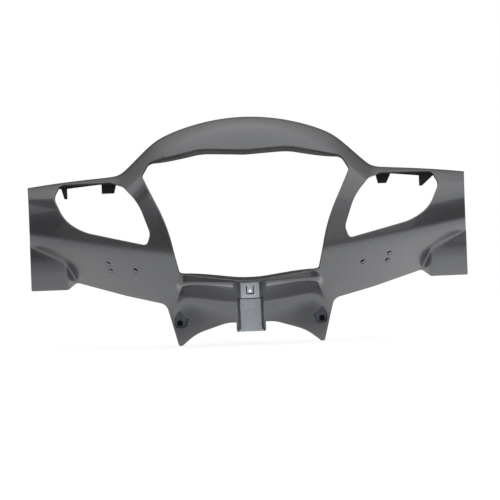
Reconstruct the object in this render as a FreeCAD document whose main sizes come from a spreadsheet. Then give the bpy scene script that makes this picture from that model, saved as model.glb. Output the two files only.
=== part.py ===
import FreeCAD, Part
import math
import os
from types import SimpleNamespace
from FreeCAD import Vector

# Front half of a motorcycle handlebar cover: a thin moulded shell with a headlight opening,
# two turn signal openings, legs with screw pockets and a centre bracket.
# Millimetres. +X is to the right seen from the front, the front faces -Y, +Z is up.
# The origin lies midway between the two lower screws, in the plane their heads seat on.

doc = FreeCAD.newDocument("headlight_cowl")

# Driving dimensions: alias, value, what it sets
SIZES = (
    ("wall", 2.6, "thickness of the moulded wall"),
    ("arm_reach", 219.8, "half width at the screw seats"),
    ("end_flare_deg", 7.3, "lean of the cut arm ends, outwards to the rear"),
    ("nose_reach", 60.0, "how far the nose stands in front of the screw seats"),
    ("sweep_back", 65.6, "how far an arm end lies behind the nose"),
    ("crease_height", 63.4, "height of the long crease at the middle"),
    ("crease_climb", 26.5, "rise of the crease to the arm end"),
    ("climb_start", 60.0, "distance from the middle where the crease starts to rise"),
    ("climb_round", 40.0, "softness of the start of that rise"),
    ("crease_round", 5.0, "softness of the crease"),
    ("tuck_nose", 0.3, "set back of the lower panel per millimetre of drop, at the middle"),
    ("tuck_arm", 1.7, "the same, far out on an arm"),
    ("tuck_spread", 95.0, "distance over which the tuck changes"),
    ("crest_height", 207.7, "height of the visor's rear edge at the middle"),
    ("crest_radius", 216.0, "radius of that edge seen from the front"),
    ("crest_depth", 35.0, "depth of that edge behind the screw seats"),
    ("shoulder_out", 108.6, "distance of the shoulder below the visor from the middle"),
    ("shoulder_height", 172.3, "height of that shoulder"),
    ("shoulder_fall_deg", 45.0, "slope of the shoulder down to the arm"),
    ("shoulder_round", 6.0, "softness of the shoulder's two bends"),
    ("roof_height", 151.5, "height of an arm's roof beside the shoulder"),
    ("roof_drop", 6.5, "fall of the roof to the arm end"),
    ("roof_depth", 59.0, "depth of the roof's rear edge at the arm end"),
    ("roof_round", 40.0, "softness of the rear edge at the middle, seen from above"),
    ("scoop_depth", 6.0, "depth of the scoop's wall at the middle"),
    ("leg_forward", 13.5, "how far the legs stand in front of that"),
    ("leg_flank", 12.5, "distance from a screw out to the leg's flank"),
    ("flank_slope", 3.0, "set back of the flank per millimetre outwards"),
    ("chin_rim", 5.0, "height of the chin under the headlight at the middle"),
    ("chin_rise", 0.06, "rise of the chin's lower fold per millimetre outwards"),
    ("chin_lean", 0.3, "forward lean of the chin per millimetre of drop"),
    ("chin_start", 3.0, "height over the headlight's lower edge where the chin leaves the skin"),
    ("chin_round", 2.0, "softness of the chin's bends"),
    ("chin_side_slope", 3.0, "set back around the chin per millimetre away from it"),
    ("chin_slope", 3.6, "set back of the scoop under the chin per millimetre of drop"),
    ("scoop_side_slope", 2.5, "set back of the scoop's side per millimetre inwards"),
    ("scoop_round", 7.0, "softness of the scoop's bends"),
    ("scoop_corner_round", 34.0, "softness of the scoop's upper corners"),
    ("cove_round", 20.0, "added softness between the scoop's roof and its wall, at the middle"),
    ("pad_out", 186.0, "distance of a lever pad's inner edge from the middle"),
    ("pad_height", 68.5, "height of the pad's upper inner corner"),
    ("pad_depth", 10.2, "depth of the pad's face at that corner"),
    ("pad_sweep", 0.14, "set back of the pad per millimetre outwards"),
    ("pad_lean", 0.12, "set back of the pad per millimetre of drop"),
    ("pad_side_slope", 2.2, "set back of the pad's inner side per millimetre inwards"),
    ("pad_side_lean", 0.04, "shift of that side inwards per millimetre of drop"),
    ("pad_sole_height", 46.0, "height where the pad turns under"),
    ("pad_sole_slope", 1.2, "set back there per millimetre of drop"),
    ("pad_sole_round", 10.0, "softness of that turn"),
    ("pad_round", 2.2, "softness of the pad's bends"),
    ("lamp_low_height", 42.0, "headlight opening: lower edge at the middle"),
    ("lamp_low_flat", 10.0, "half width of its level stretch"),
    ("lamp_corner_out", 69.0, "lower corner, distance from the middle"),
    ("lamp_corner_height", 50.3, "lower corner, height"),
    ("lamp_waist_out", 78.0, "side, distance from the middle at mid height"),
    ("lamp_waist_height", 98.0, "height of that point"),
    ("lamp_top_out", 104.0, "upper corner, distance from the middle"),
    ("lamp_top_height", 149.5, "upper corner, height"),
    ("lamp_brow_out", 97.0, "bend of the lip beside the upper corner, distance from the middle"),
    ("lamp_brow_height", 162.4, "height of that bend"),
    ("lip_peak_out", 44.0, "highest point of the visor lip, distance from the middle"),
    ("lip_peak_height", 173.2, "height of that point"),
    ("lip_dip_height", 170.4, "height of the lip at the middle"),
    ("lip_flange_depth", 30.0, "length of the return flange under the lip"),
    ("lip_flange_drop", 4.4, "fall of that flange to the rear"),
    ("ledge_depth", 24.0, "length of the ledge behind the headlight's lower edge"),
    ("ledge_rise", 2.6, "rise of that ledge to the rear"),
    ("signal_top", 145.2, "turn signal opening: height of its upper edge"),
    ("signal_top_out", 190.5, "outer end of its upper edge, distance from the middle"),
    ("signal_outer", 195.4, "its outer edge, distance from the middle"),
    ("signal_outer_height", 132.0, "height of the bend in the outer edge"),
    ("signal_heel_out", 183.0, "bend below that, distance from the middle"),
    ("signal_heel_height", 107.8, "height of that bend"),
    ("signal_sole_out", 164.0, "outer end of the lower edge, distance from the middle"),
    ("signal_sole_height", 95.3, "height of that end"),
    ("signal_toe_out", 99.6, "inner end of the lower edge, distance from the middle"),
    ("signal_toe_height", 79.4, "height of that end"),
    ("signal_inner", 95.6, "innermost point, distance from the middle"),
    ("signal_inner_height", 90.5, "height of that point"),
    ("signal_brow_out", 107.0, "bend of the inner edge, distance from the middle"),
    ("signal_brow_height", 121.5, "height of that bend"),
    ("signal_crown_out", 124.0, "inner end of the upper edge, distance from the middle"),
    ("signal_crown_height", 139.8, "height of that end"),
    ("screw_spacing", 143.0, "distance between the two lower screws"),
    ("screw_hole", 5.5, "diameter of the screw holes"),
    ("seat_wall", 3.0, "thickness of the floor that the screw heads seat on"),
    ("pocket_crown", 13.2, "height of a screw pocket's point above its screw"),
    ("pocket_inner", 8.8, "reach of the pocket towards the middle"),
    ("pocket_inner_height", 5.4, "height of that corner above the screw"),
    ("pocket_toe", 6.2, "reach of the pocket's lower corner towards the middle"),
    ("pocket_outer", 4.9, "reach of the pocket outwards"),
    ("pocket_sole", 4.4, "reach of the pocket below the screw"),
    ("pocket_wall", 2.0, "thickness of the pocket's side wall"),
    ("leg_tip_drop", 22.6, "reach of a leg below its screw"),
    ("leg_tip_width", 3.6, "width of the leg's tip"),
    ("leg_top_out", 13.2, "outer corner where a leg meets the panel, outwards from the screw"),
    ("leg_top_height", 19.2, "height of that corner"),
    ("arch_height", -1.6, "height of the arch between the legs at the middle"),
    ("arch_flat", 24.0, "half width of the arch's level stretch"),
    ("arch_haunch_in", 16.5, "bend of the arch beside a leg, inwards from the screw"),
    ("arch_haunch_height", -11.0, "height of that bend"),
    ("hem_mid_out", 125.0, "bend in a lower panel's edge, distance from the middle"),
    ("hem_mid_height", 28.6, "height of that bend"),
    ("notch_out", 177.0, "notch beside the lever pad, distance from the middle"),
    ("notch_height", 43.7, "height of the notch"),
    ("pad_foot_in", 0.7, "inner corner of the pad's lower edge, inwards of the pad's inner edge"),
    ("pad_foot_height", 36.8, "height of the pad's lower edge"),
    ("edge_bend", 4.0, "radius of the outlines' tight corners"),
    ("leg_bend", 9.0, "radius where a leg meets the panel's edge"),
    ("leg_tip_round", 1.7, "radius of a leg's tip"),
    ("lamp_bend", 10.0, "radius of the lip's bend beside the upper corner"),
    ("lamp_corner_bend", 2.0, "radius of the headlight opening's lower corners"),
    ("lamp_side_bend", 180.0, "radius of the bend in the headlight opening's sides"),
    ("signal_bend", 12.0, "radius of the turn signal opening's soft corners"),
    ("long_bend", 60.0, "radius of the outlines' long soft bends"),
    ("trim_hole", 5.6, "diameter of the small trim holes"),
    ("trim_lower_out", 138.8, "lower outer trim hole, distance from the middle"),
    ("trim_lower_height", 55.6, "height of that hole"),
    ("trim_pair_out", 1.6, "upper outer trim hole, outwards of the lower one"),
    ("trim_pair_rise", 7.1, "upper outer trim hole, above the lower one"),
    ("trim_inner_out", 113.2, "inner trim hole, distance from the middle"),
    ("trim_inner_height", 55.1, "height of that hole"),
    ("bracket_width", 29.8, "width of the centre bracket"),
    ("bracket_wall", 2.3, "thickness of the bracket's sides and rim"),
    ("bracket_recess", 7.0, "depth of the bracket's channel behind the scoop"),
    ("bracket_draft", 3.3, "how much a side of the channel leans in to the floor"),
    ("bracket_flare", 0.06, "widening of the channel per millimetre in front of the scoop's wall"),
    ("bracket_floor", 2.4, "thickness of the channel's floor"),
    ("bracket_top", 40.3, "height of the channel's upper end"),
    ("bracket_drop", 11.2, "reach of the bracket below the screws"),
    ("bracket_step_height", 22.4, "height of the step in the channel's floor"),
    ("bracket_step", 2.0, "rise of the lower floor in front of the upper one"),
    ("clip_width", 8.0, "width of the snap tongue in the upper floor"),
    ("clip_length", 8.5, "length of that tongue"),
    ("clip_foot_height", 26.2, "height of the tongue's lower end"),
    ("clip_slit", 1.0, "width of the groove around the tongue"),
    ("clip_groove", 1.5, "depth of that groove"),
    ("clip_hole", 2.4, "diameter of the hole in the tongue"),
    ("tab_thickness", 2.4, "thickness of the tabs under an arm's roof"),
    ("inner_tab_out", 139.5, "inner tab, distance from the middle"),
    ("inner_tab_width", 17.0, "width of the inner tab"),
    ("inner_tab_foot", 134.3, "height of the inner tab's lower edge"),
    ("inner_tab_setback", 17.0, "inner tab, distance behind the turn signal opening's upper edge"),
    ("outer_tab_out", 184.0, "outer tab, distance from the middle"),
    ("outer_tab_width", 12.0, "width of the outer tab"),
    ("outer_tab_foot", 130.4, "height of the outer tab's lower edge"),
    ("outer_tab_setback", 5.0, "outer tab, distance behind the turn signal opening's upper edge"),
    ("rib_inner_out", 146.0, "inner end of the rib beside the outer tab, distance from the middle"),
    ("rib_inner_drop", 0.8, "reach of the rib below the opening's upper edge at that end"),
    ("rib_outer_drop", 4.2, "the same, beside the outer tab"),
    ("tab_bend", 1.0, "radius of the tabs' lower corners"),
)

sheet = doc.addObject("Spreadsheet::Sheet", "Sizes")
for row, (alias, value, meaning) in enumerate(SIZES, start=1):
    sheet.set("A%d" % row, meaning)
    sheet.set("B%d" % row, "%r" % value)
    sheet.setAlias("B%d" % row, alias)
doc.recompute()
size = SimpleNamespace(**{alias: float(sheet.get(alias)) for alias, value, meaning in SIZES})

screw_out = size.screw_spacing / 2
end_flare = math.tan(math.radians(size.end_flare_deg))
shoulder_fall = math.tan(math.radians(size.shoulder_fall_deg))
leg_corner_out = screw_out + size.leg_top_out


# Rounded steps that the skin is put together from

def ramp(distance, softness):
    """Zero on one side and the distance on the other, with a rounded start."""
    return 0.5 * (distance + math.hypot(distance, softness))


def nearer(a, b, softness):
    """The smaller of two depths, with a rounded bend where they meet."""
    return 0.5 * (a + b - math.hypot(a - b, softness))


def farther(a, b, softness):
    """The larger of two depths, with a rounded bend where they meet."""
    return 0.5 * (a + b + math.hypot(a - b, softness))


# Long lines of the skin, each by the distance out from the middle

def crease_line(out):
    """Depth and height of the long crease."""
    depth = -size.nose_reach + size.sweep_back * (out / size.arm_reach) ** 2
    rise = ramp(out - size.climb_start, size.climb_round)
    full_rise = ramp(size.arm_reach - size.climb_start, size.climb_round)
    return depth, size.crease_height + size.crease_climb * rise / full_rise


def rear_line(out):
    """Depth and height of the rear edge of the visor and the roofs."""
    bow = math.hypot(out, size.roof_round) - size.roof_round
    full_bow = math.hypot(size.arm_reach, size.roof_round) - size.roof_round
    depth = size.crest_depth + (size.roof_depth - size.crest_depth) * bow / full_bow
    dome = size.crest_height - out * out / (2 * size.crest_radius)
    shoulder = size.shoulder_height - (out - size.shoulder_out) * shoulder_fall
    roof_run = max(out - size.shoulder_out, 0.0) / (size.arm_reach - size.shoulder_out)
    roof = size.roof_height - size.roof_drop * roof_run ** 2
    height = farther(nearer(dome, shoulder, size.shoulder_round), roof, size.shoulder_round)
    return depth, height


def tuck(out):
    """Set back of the lower panel per millimetre of drop."""
    share = out * out / (out * out + size.tuck_spread ** 2)
    return size.tuck_nose + (size.tuck_arm - size.tuck_nose) * share


def lamp_low_edge(out):
    """Height of the headlight opening's lower edge."""
    slope = (size.lamp_corner_height - size.lamp_low_height) / (size.lamp_corner_out - size.lamp_low_flat)
    return size.lamp_low_height + slope * ramp(out - size.lamp_low_flat, size.crease_round)


# Skin: the depth of its outer face

def body_depth(out, height):
    """Quarter ellipses above the crease, the tucked lower panel below it."""
    crease_depth, crease_height = crease_line(out)
    rear_depth, rear_height = rear_line(out)
    sine = min(max((height - crease_height) / (rear_height - crease_height), 0.0), 1.0)
    upper = crease_depth + (rear_depth - crease_depth) * (1 - math.sqrt(1 - sine * sine))
    return upper + tuck(out) * ramp(crease_height - height, size.crease_round)


def chin_foot(out):
    """Height of the fold under the chin."""
    rise = size.chin_rise * ramp(out - size.lamp_low_flat, size.crease_round)
    return size.lamp_low_height - size.chin_rim + rise


def chin_depth(out, height):
    """The narrow chin that hangs from the headlight's lower edge."""
    edge_height = lamp_low_edge(out)
    beside = ramp(out - size.lamp_corner_out, size.crease_round)
    above = ramp(height - edge_height - size.chin_rim / 2, size.chin_round)
    below = ramp(chin_foot(out) - size.chin_rim / 2 - height, size.chin_round)
    start_height = edge_height + size.chin_start
    lean = size.chin_lean * (start_height - height)
    return body_depth(out, start_height) - lean + size.chin_side_slope * (beside + above + below)


def scoop_depth(out, height):
    """The hollow under the chin, between the two legs."""
    rim_depth = body_depth(out, lamp_low_edge(out))
    side_run = (leg_corner_out - size.lamp_corner_out) / (size.lamp_corner_height - size.leg_top_height)
    side_out = size.lamp_corner_out + size.chin_rim / 2 + (size.lamp_corner_height - height) * side_run
    under_rim = rim_depth + (chin_foot(out) - height) * size.chin_slope
    beside_leg = rim_depth + (side_out - out) * size.scoop_side_slope
    return nearer(under_rim, beside_leg, size.scoop_corner_round)


def wall_depth(out, height):
    """The scoop's wall, with the legs standing forward of its middle."""
    turn = min(out / (screw_out + size.pocket_outer), 1.0)
    depth = size.scoop_depth - size.leg_forward * (1 - math.cos(math.pi * turn)) / 2
    flank = size.flank_slope * ramp(out - screw_out - size.leg_flank, size.crease_round)
    above = size.chin_slope * ramp(height - size.lamp_low_height, size.crease_round)
    return depth + flank + above


def pad_depth(out, height):
    """The raised pad that clears the lever, at an arm's lower outer corner."""
    drop = size.pad_height - height
    lean = size.pad_lean * ramp(drop, size.pad_round)
    face = size.pad_depth + size.pad_sweep * (out - size.pad_out) + lean
    sole = size.pad_sole_slope * ramp(size.pad_sole_height - height, size.pad_sole_round)
    side_out = size.pad_out - size.pad_side_lean * drop
    side = size.pad_side_slope * ramp(side_out - out, size.pad_round)
    above = size.flank_slope * ramp(height - crease_line(out)[1], size.crease_round)
    return face + sole + side + above


def skin_depth(x, height):
    """Depth of the outer face at a point seen from the front."""
    out = abs(x)
    depth = nearer(body_depth(out, height), chin_depth(out, height), size.chin_round)
    depth = farther(depth, scoop_depth(out, height), size.scoop_round)
    cove = size.cove_round * max(1 - (out / screw_out) ** 2, 0.0)
    depth = nearer(depth, wall_depth(out, height), size.scoop_round + cove)
    return nearer(depth, pad_depth(out, height), size.pad_round)


def skin_point(x, row):
    """Point of the outer face. Rows 0 to 1 climb to the crease, rows 1 to 2 on to the rear edge."""
    out = abs(x)
    crease_depth, crease_height = crease_line(out)
    if row <= 1:
        height = -SHEET_FOOT + row * (crease_height + SHEET_FOOT)
        return Vector(x, skin_depth(x, height), height)
    rear_depth, rear_height = rear_line(out)
    height = crease_height + (rear_height - crease_height) * math.sin((row - 1) * math.pi / 2)
    if row < 2:
        return Vector(x, skin_depth(x, height), height)
    fade = tuck(out) * ramp(crease_height - rear_height, size.crease_round)
    return Vector(x, rear_depth + fade, rear_height)


def skin_normal(x, row):
    """Outward direction of the skin."""
    along_x = skin_point(x + NORMAL_STEP, row) - skin_point(x - NORMAL_STEP, row)
    low_row = max(row - ROW_STEP, 0.0)
    high_row = min(row + ROW_STEP, 2.0)
    along_row = skin_point(x, high_row) - skin_point(x, low_row)
    return along_x.cross(along_row).normalize()


# Where the skin's grid has its points: close together at the tight bends

SHEET_FOOT = 30.0
SHEET_END = 6.0
NORMAL_STEP = 0.05
ROW_STEP = 0.0005
WIDE_PITCH = 6.0
TIGHT_PITCH = 2.4
BEND_REACH = 13.0
FOOT_PITCH = 5.0
RIM_PITCH = 1.4
CREASE_PITCH = 2.2
UPPER_ROWS = 16
UPPER_CROWDING = 1.4
PATCH_SPANS = 14


def spaced(stretches, last):
    """Values from the last one on, at each stretch's own pitch."""
    values = [last]
    for end, pitch in stretches:
        start = values[-1]
        steps = math.ceil((end - start) / pitch)
        values += [start + (end - start) * step / steps for step in range(1, steps + 1)]
    return values


def skin_columns():
    """Distances from the middle, from just past one arm's end to just past the other's."""
    reach = size.arm_reach + end_flare * size.roof_depth + SHEET_END
    columns = spaced((
        (size.lamp_corner_out - BEND_REACH, WIDE_PITCH),
        (leg_corner_out + BEND_REACH, TIGHT_PITCH),
        (min(size.pad_out - BEND_REACH, reach), WIDE_PITCH),
        (min(size.pad_out + BEND_REACH, reach), TIGHT_PITCH),
        (reach, WIDE_PITCH),
    ), 0.0)
    return [-out for out in reversed(columns[1:])] + columns


def skin_rows(last_row):
    """Rows from the foot to the crease and on to the rear edge, closer together at the bends."""
    crease_height = crease_line(0.0)[1]
    rim_foot = size.lamp_low_height - size.chin_rim - 2 * BEND_REACH
    heights = spaced((
        (rim_foot, FOOT_PITCH),
        (size.lamp_corner_height, RIM_PITCH),
        (crease_height, CREASE_PITCH),
    ), -SHEET_FOOT)
    lower = [(height + SHEET_FOOT) / (crease_height + SHEET_FOOT) for height in heights[:-1]]
    upper = [1 + (step / UPPER_ROWS) ** UPPER_CROWDING for step in range(UPPER_ROWS + 1)]
    return [row for row in lower + upper if row <= last_row]


def skin_surface(inset, last_row=2.0):
    """Smooth surface at a distance inside the outer skin."""
    rows = skin_rows(last_row)
    points = [[skin_point(x, row) - skin_normal(x, row) * inset for row in rows] for x in skin_columns()]
    surface = Part.BSplineSurface()
    surface.interpolate(points)
    return surface


def bands(knots):
    """Stretches of a surface, each a few spans long."""
    cuts = list(range(0, len(knots) - PATCH_SPANS // 2, PATCH_SPANS)) + [len(knots) - 1]
    return [(knots[first], knots[last]) for first, last in zip(cuts, cuts[1:])]


def patches(surface):
    """The surface as smaller faces that meet edge to edge."""
    faces = []
    for u_low, u_high in bands(surface.getUKnots()):
        for v_low, v_high in bands(surface.getVKnots()):
            patch = surface.copy()
            patch.segment(u_low, u_high, v_low, v_high)
            faces.append(patch.toShape())
    return faces


def border(surface):
    """The edges around the surface, cut like its patches."""
    u_low, u_high, v_low, v_high = surface.bounds()
    sides = [(surface.uIso(u), surface.getVKnots()) for u in (u_low, u_high)]
    sides += [(surface.vIso(v), surface.getUKnots()) for v in (v_low, v_high)]
    edges = []
    for curve, knots in sides:
        for low, high in bands(knots):
            piece = curve.copy()
            piece.segment(low, high)
            edges.append(piece.toShape())
    return edges


def solid_between(front, back):
    """Closed solid between two surfaces with the same grid."""
    rims = [Part.makeRuledSurface(a, b, 1) for a, b in zip(border(front), border(back))]
    shell = Part.Shell(patches(front) + patches(back) + rims)
    shell.sewShape()
    solid = Part.Solid(shell)
    if solid.Volume < 0:
        solid.reverse()
    return solid


def feature(name, shape):
    """Document object that holds a shape made in code."""
    item = doc.addObject("Part::Feature", name)
    item.Shape = shape
    item.Placement = FreeCAD.Placement()
    return item


MID_WALL_ROW = 1.9
mid_wall = skin_surface(size.wall / 2, MID_WALL_ROW)
far_behind = mid_wall.copy()
far_behind.translate(Vector(0, size.nose_reach + size.roof_depth, 0))
skin_sheet = feature("skin_sheet", solid_between(skin_surface(0.0), skin_surface(size.wall)))
behind_skin = feature("behind_skin", solid_between(mid_wall, far_behind))


# Outlines seen from the front

EDGE_SHARE = 0.48
SHARP = 0.1
CLEAR = 50.0


def rounded(corners):
    """Lines and arcs through corners given as (x, height, radius), as a closed loop."""
    cuts = []
    for i, (x, height, radius) in enumerate(corners):
        here = Vector(x, height, 0)
        back = Vector(*corners[i - 1][:2], 0) - here
        ahead = Vector(*corners[(i + 1) % len(corners)][:2], 0) - here
        half_angle = back.getAngle(ahead) / 2
        trim = min(radius / math.tan(half_angle), EDGE_SHARE * back.Length, EDGE_SHARE * ahead.Length)
        radius = trim * math.tan(half_angle)
        bisector = (back.normalize() + ahead.normalize()).normalize()
        middle = here + bisector * (radius / math.sin(half_angle) - radius)
        cuts.append((here + back * trim, middle, here + ahead * trim))
    geometry = []
    for i, (start, middle, end) in enumerate(cuts):
        geometry.append(Part.Arc(start, middle, end))
        geometry.append(Part.LineSegment(end, cuts[(i + 1) % len(cuts)][0]))
    return geometry


def mirrored(corners):
    """The other side's corners, in the opposite order."""
    return [(-x, height, radius) for x, height, radius in reversed(corners)]


FACING_FRONT = FreeCAD.Rotation(Vector(1, 0, 0), 90)


def outline(name, corners, depth=0.0):
    """Sketch of a rounded outline, standing upright at a depth."""
    sketch = doc.addObject("Sketcher::SketchObject", name)
    sketch.addGeometry(rounded(corners), False)
    sketch.Placement = FreeCAD.Placement(Vector(0, depth, 0), FACING_FRONT)
    return sketch


def prism(name, base, front, back):
    """Extrusion of an outline from a depth in front of it to one behind, both bound to the sheet."""
    block = doc.addObject("Part::Extrusion", name)
    block.Base = base
    block.DirMode = "Custom"
    block.Dir = Vector(0, 1, 0)
    block.Solid = True
    block.setExpression("LengthFwd", back)
    block.setExpression("LengthRev", front)
    return block


def bound_box(name, length, width, height, x, y, z):
    """Box with its sizes and corner bound to the sheet."""
    box = doc.addObject("Part::Box", name)
    bindings = (("Length", length), ("Width", width), ("Height", height), ("Placement.Base.x", x),
                ("Placement.Base.y", y), ("Placement.Base.z", z))
    for target, expression in bindings:
        box.setExpression(target, expression)
    return box


def joined(kind, name, shapes):
    """Boolean of several shapes: Part::MultiFuse or Part::MultiCommon."""
    result = doc.addObject(kind, name)
    result.Shapes = shapes
    return result


def cut(name, base, tool):
    result = doc.addObject("Part::Cut", name)
    result.Base = base
    result.Tool = tool
    return result


WELL_IN_FRONT = "Sizes.nose_reach * 2"
WELL_BEHIND = "Sizes.roof_depth * 2"

# Trim of the skin: its lower edge and the two arm ends
leg_tip_half = size.leg_tip_width / 2
well_above = size.crest_height + CLEAR
well_out = size.arm_reach + end_flare * size.roof_depth + CLEAR
lower_edge = [
    (well_out, size.pad_foot_height, SHARP),
    (size.pad_out - size.pad_foot_in, size.pad_foot_height, size.edge_bend),
    (size.notch_out, size.notch_height, size.edge_bend),
    (size.hem_mid_out, size.hem_mid_height, size.long_bend),
    (leg_corner_out, size.leg_top_height, size.leg_bend),
    (screw_out + leg_tip_half, -size.leg_tip_drop, size.leg_tip_round),
    (screw_out - leg_tip_half, -size.leg_tip_drop, size.leg_tip_round),
    (screw_out - size.arch_haunch_in, size.arch_haunch_height, size.long_bend),
    (size.arch_flat, size.arch_height, size.long_bend),
]
trim_corners = [(well_out, well_above, SHARP)] + lower_edge
trim_front = prism("trim_front", outline("trim_outline", trim_corners + mirrored(trim_corners)),
                   WELL_IN_FRONT, WELL_BEHIND)

rear_plane = size.roof_depth * 2
front_plane = -size.nose_reach * 2
plan_corners = [
    Vector(size.arm_reach + end_flare * front_plane, front_plane, 0),
    Vector(size.arm_reach + end_flare * rear_plane, rear_plane, 0),
    Vector(-size.arm_reach - end_flare * rear_plane, rear_plane, 0),
    Vector(-size.arm_reach - end_flare * front_plane, front_plane, 0),
]
plan_face = Part.Face(Part.makePolygon(plan_corners, True))
well_below = size.leg_tip_drop + CLEAR
plan_face.translate(Vector(0, 0, -well_below))
trim_ends = feature("trim_ends", plan_face.extrude(Vector(0, 0, well_below + well_above)))
trimmed_skin = joined("Part::MultiCommon", "trimmed_skin", [skin_sheet, trim_front, trim_ends])

# Headlight and turn signal openings
lamp_right = [
    (0, size.lip_dip_height, size.long_bend),
    (size.lip_peak_out, size.lip_peak_height, size.long_bend),
    (size.lamp_brow_out, size.lamp_brow_height, size.lamp_bend),
    (size.lamp_top_out, size.lamp_top_height, size.edge_bend),
    (size.lamp_waist_out, size.lamp_waist_height, size.lamp_side_bend),
    (size.lamp_corner_out, size.lamp_corner_height, size.lamp_corner_bend),
    (size.lamp_low_flat, size.lamp_low_height, size.long_bend),
]
lamp_cut = prism("lamp_cut", outline("lamp_outline", lamp_right + mirrored(lamp_right)[:-1]),
                 WELL_IN_FRONT, WELL_BEHIND)
signal_right = [
    (size.signal_top_out, size.signal_top, size.edge_bend),
    (size.signal_outer, size.signal_outer_height, size.signal_bend),
    (size.signal_heel_out, size.signal_heel_height, size.long_bend),
    (size.signal_sole_out, size.signal_sole_height, size.long_bend),
    (size.signal_toe_out, size.signal_toe_height, size.edge_bend),
    (size.signal_inner, size.signal_inner_height, size.signal_bend),
    (size.signal_brow_out, size.signal_brow_height, size.long_bend),
    (size.signal_crown_out, size.signal_crown_height, size.signal_bend),
    (size.signal_crown_out + size.signal_bend, size.signal_top, size.signal_bend),
]
signal_cuts = [
    prism("signal_cut_right", outline("signal_right", signal_right), WELL_IN_FRONT, WELL_BEHIND),
    prism("signal_cut_left", outline("signal_left", mirrored(signal_right)), WELL_IN_FRONT, WELL_BEHIND),
]
openings = joined("Part::MultiFuse", "openings", [lamp_cut] + signal_cuts)
opened_skin = cut("opened_skin", trimmed_skin, openings)


# Return flange under the visor lip and ledge behind the headlight's lower edge

def strip(name, edge_points, run, thickness):
    """Plate that starts just in front of an edge on the skin and runs back, less and less at its ends."""
    last = len(edge_points) - 1
    shares = [1 - END_FADE * abs(2 * i / last - 1) ** FADE_POWER for i in range(last + 1)]
    front_curve = Part.BSplineCurve()
    front_curve.interpolate([point - run * FRONT_SHARE for point in edge_points])
    rear_curve = Part.BSplineCurve()
    rear_curve.interpolate([point + run * share for point, share in zip(edge_points, shares)])
    plate = Part.makeRuledSurface(front_curve.toShape(), rear_curve.toShape(), 1)
    return feature(name, plate.extrude(Vector(0, 0, thickness)))


def on_skin(x, height):
    return Vector(x, skin_depth(x, height), height)


EDGE_POINTS = 24
END_FADE = 0.75
FADE_POWER = 6
FRONT_SHARE = 0.2


def lip_height(x):
    """Height of the visor lip, low in the middle and at its ends."""
    out = abs(x)
    inner_slope = (size.lip_peak_height - size.lip_dip_height) / size.lip_peak_out
    outer_slope = (size.lip_peak_height - size.lamp_brow_height) / (size.lamp_brow_out - size.lip_peak_out)
    rising = size.lip_dip_height + inner_slope * out
    falling = size.lip_peak_height - outer_slope * (out - size.lip_peak_out)
    return nearer(rising, falling, size.wall)


def across(half_width):
    """Distances from one side to the other, evenly spaced."""
    return [half_width * (2 * step / EDGE_POINTS - 1) for step in range(EDGE_POINTS + 1)]


lip_points = [on_skin(x, lip_height(x)) for x in across(size.lamp_brow_out)]
ledge_points = [on_skin(x, lamp_low_edge(abs(x))) for x in across(size.lamp_corner_out - size.edge_bend)]
lip_run = Vector(0, size.lip_flange_depth, -size.lip_flange_drop)
lip_flange = strip("lip_flange", lip_points, lip_run, size.wall)
ledge_run = Vector(0, size.ledge_depth, size.ledge_rise)
lamp_ledge = strip("lamp_ledge", ledge_points, ledge_run, -size.wall)

# Screw pockets in the legs
pocket_right = [
    (screw_out, size.pocket_crown, size.pocket_wall),
    (screw_out + size.pocket_outer, size.pocket_inner_height, size.pocket_sole),
    (screw_out + size.pocket_outer, -size.pocket_sole, size.pocket_sole),
    (screw_out - size.pocket_toe, -size.pocket_sole, size.pocket_sole),
    (screw_out - size.pocket_inner, size.pocket_inner_height, size.pocket_wall),
]
pocket_cups = []
small_cuts = []
for side, corners in (("right", pocket_right), ("left", mirrored(pocket_right))):
    mouth = outline("pocket_outline_" + side, corners)
    cup_outline = doc.addObject("Part::Offset2D", "cup_outline_" + side)
    cup_outline.Source = mouth
    cup_outline.setExpression("Value", "Sizes.pocket_wall")
    pocket_cups.append(prism("pocket_cup_" + side, cup_outline, WELL_IN_FRONT, "Sizes.seat_wall"))
    small_cuts.append(prism("pocket_cut_" + side, mouth, WELL_IN_FRONT, "0"))


# Holes: the two screw holes and the small trim holes in the lower panels

def hole(name, diameter, base, direction, reach):
    """Round hole through a wall, centred on a point of it."""
    cylinder = doc.addObject("Part::Cylinder", name)
    cylinder.setExpression("Radius", "Sizes.%s / 2" % diameter)
    cylinder.setExpression("Height", "2 * (%s)" % reach)
    doc.recompute([cylinder])
    length = cylinder.Height.Value
    direction = Vector(direction).normalize()
    turn = FreeCAD.Rotation(Vector(0, 0, 1), direction)
    cylinder.Placement = FreeCAD.Placement(base - direction * length / 2, turn)
    return cylinder


SLOPE_STEP = 1.0


def panel_direction(x, height):
    """Direction straight out of the skin at a point seen from the front."""
    slope_x = skin_depth(x + SLOPE_STEP, height) - skin_depth(x - SLOPE_STEP, height)
    slope_z = skin_depth(x, height + SLOPE_STEP) - skin_depth(x, height - SLOPE_STEP)
    return Vector(slope_x, -2 * SLOPE_STEP, slope_z)


through_seat = "Sizes.seat_wall * 2"
through_wall = "Sizes.wall * 3"
trim_places = (
    ("upper", size.trim_lower_out + size.trim_pair_out, size.trim_lower_height + size.trim_pair_rise),
    ("lower", size.trim_lower_out, size.trim_lower_height),
    ("inner", size.trim_inner_out, size.trim_inner_height),
)
for side, sign in (("right", 1), ("left", -1)):
    small_cuts.append(hole("screw_hole_" + side, "screw_hole", Vector(sign * screw_out, 0, 0),
                           Vector(0, 1, 0), through_seat))
    for place, out, height in trim_places:
        x = sign * out
        small_cuts.append(hole("trim_hole_%s_%s" % (place, side), "trim_hole", on_skin(x, height),
                               panel_direction(x, height), through_wall))


# Centre bracket: a channel with leaning sides set into the scoop, with a stepped floor and a tongue

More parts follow.
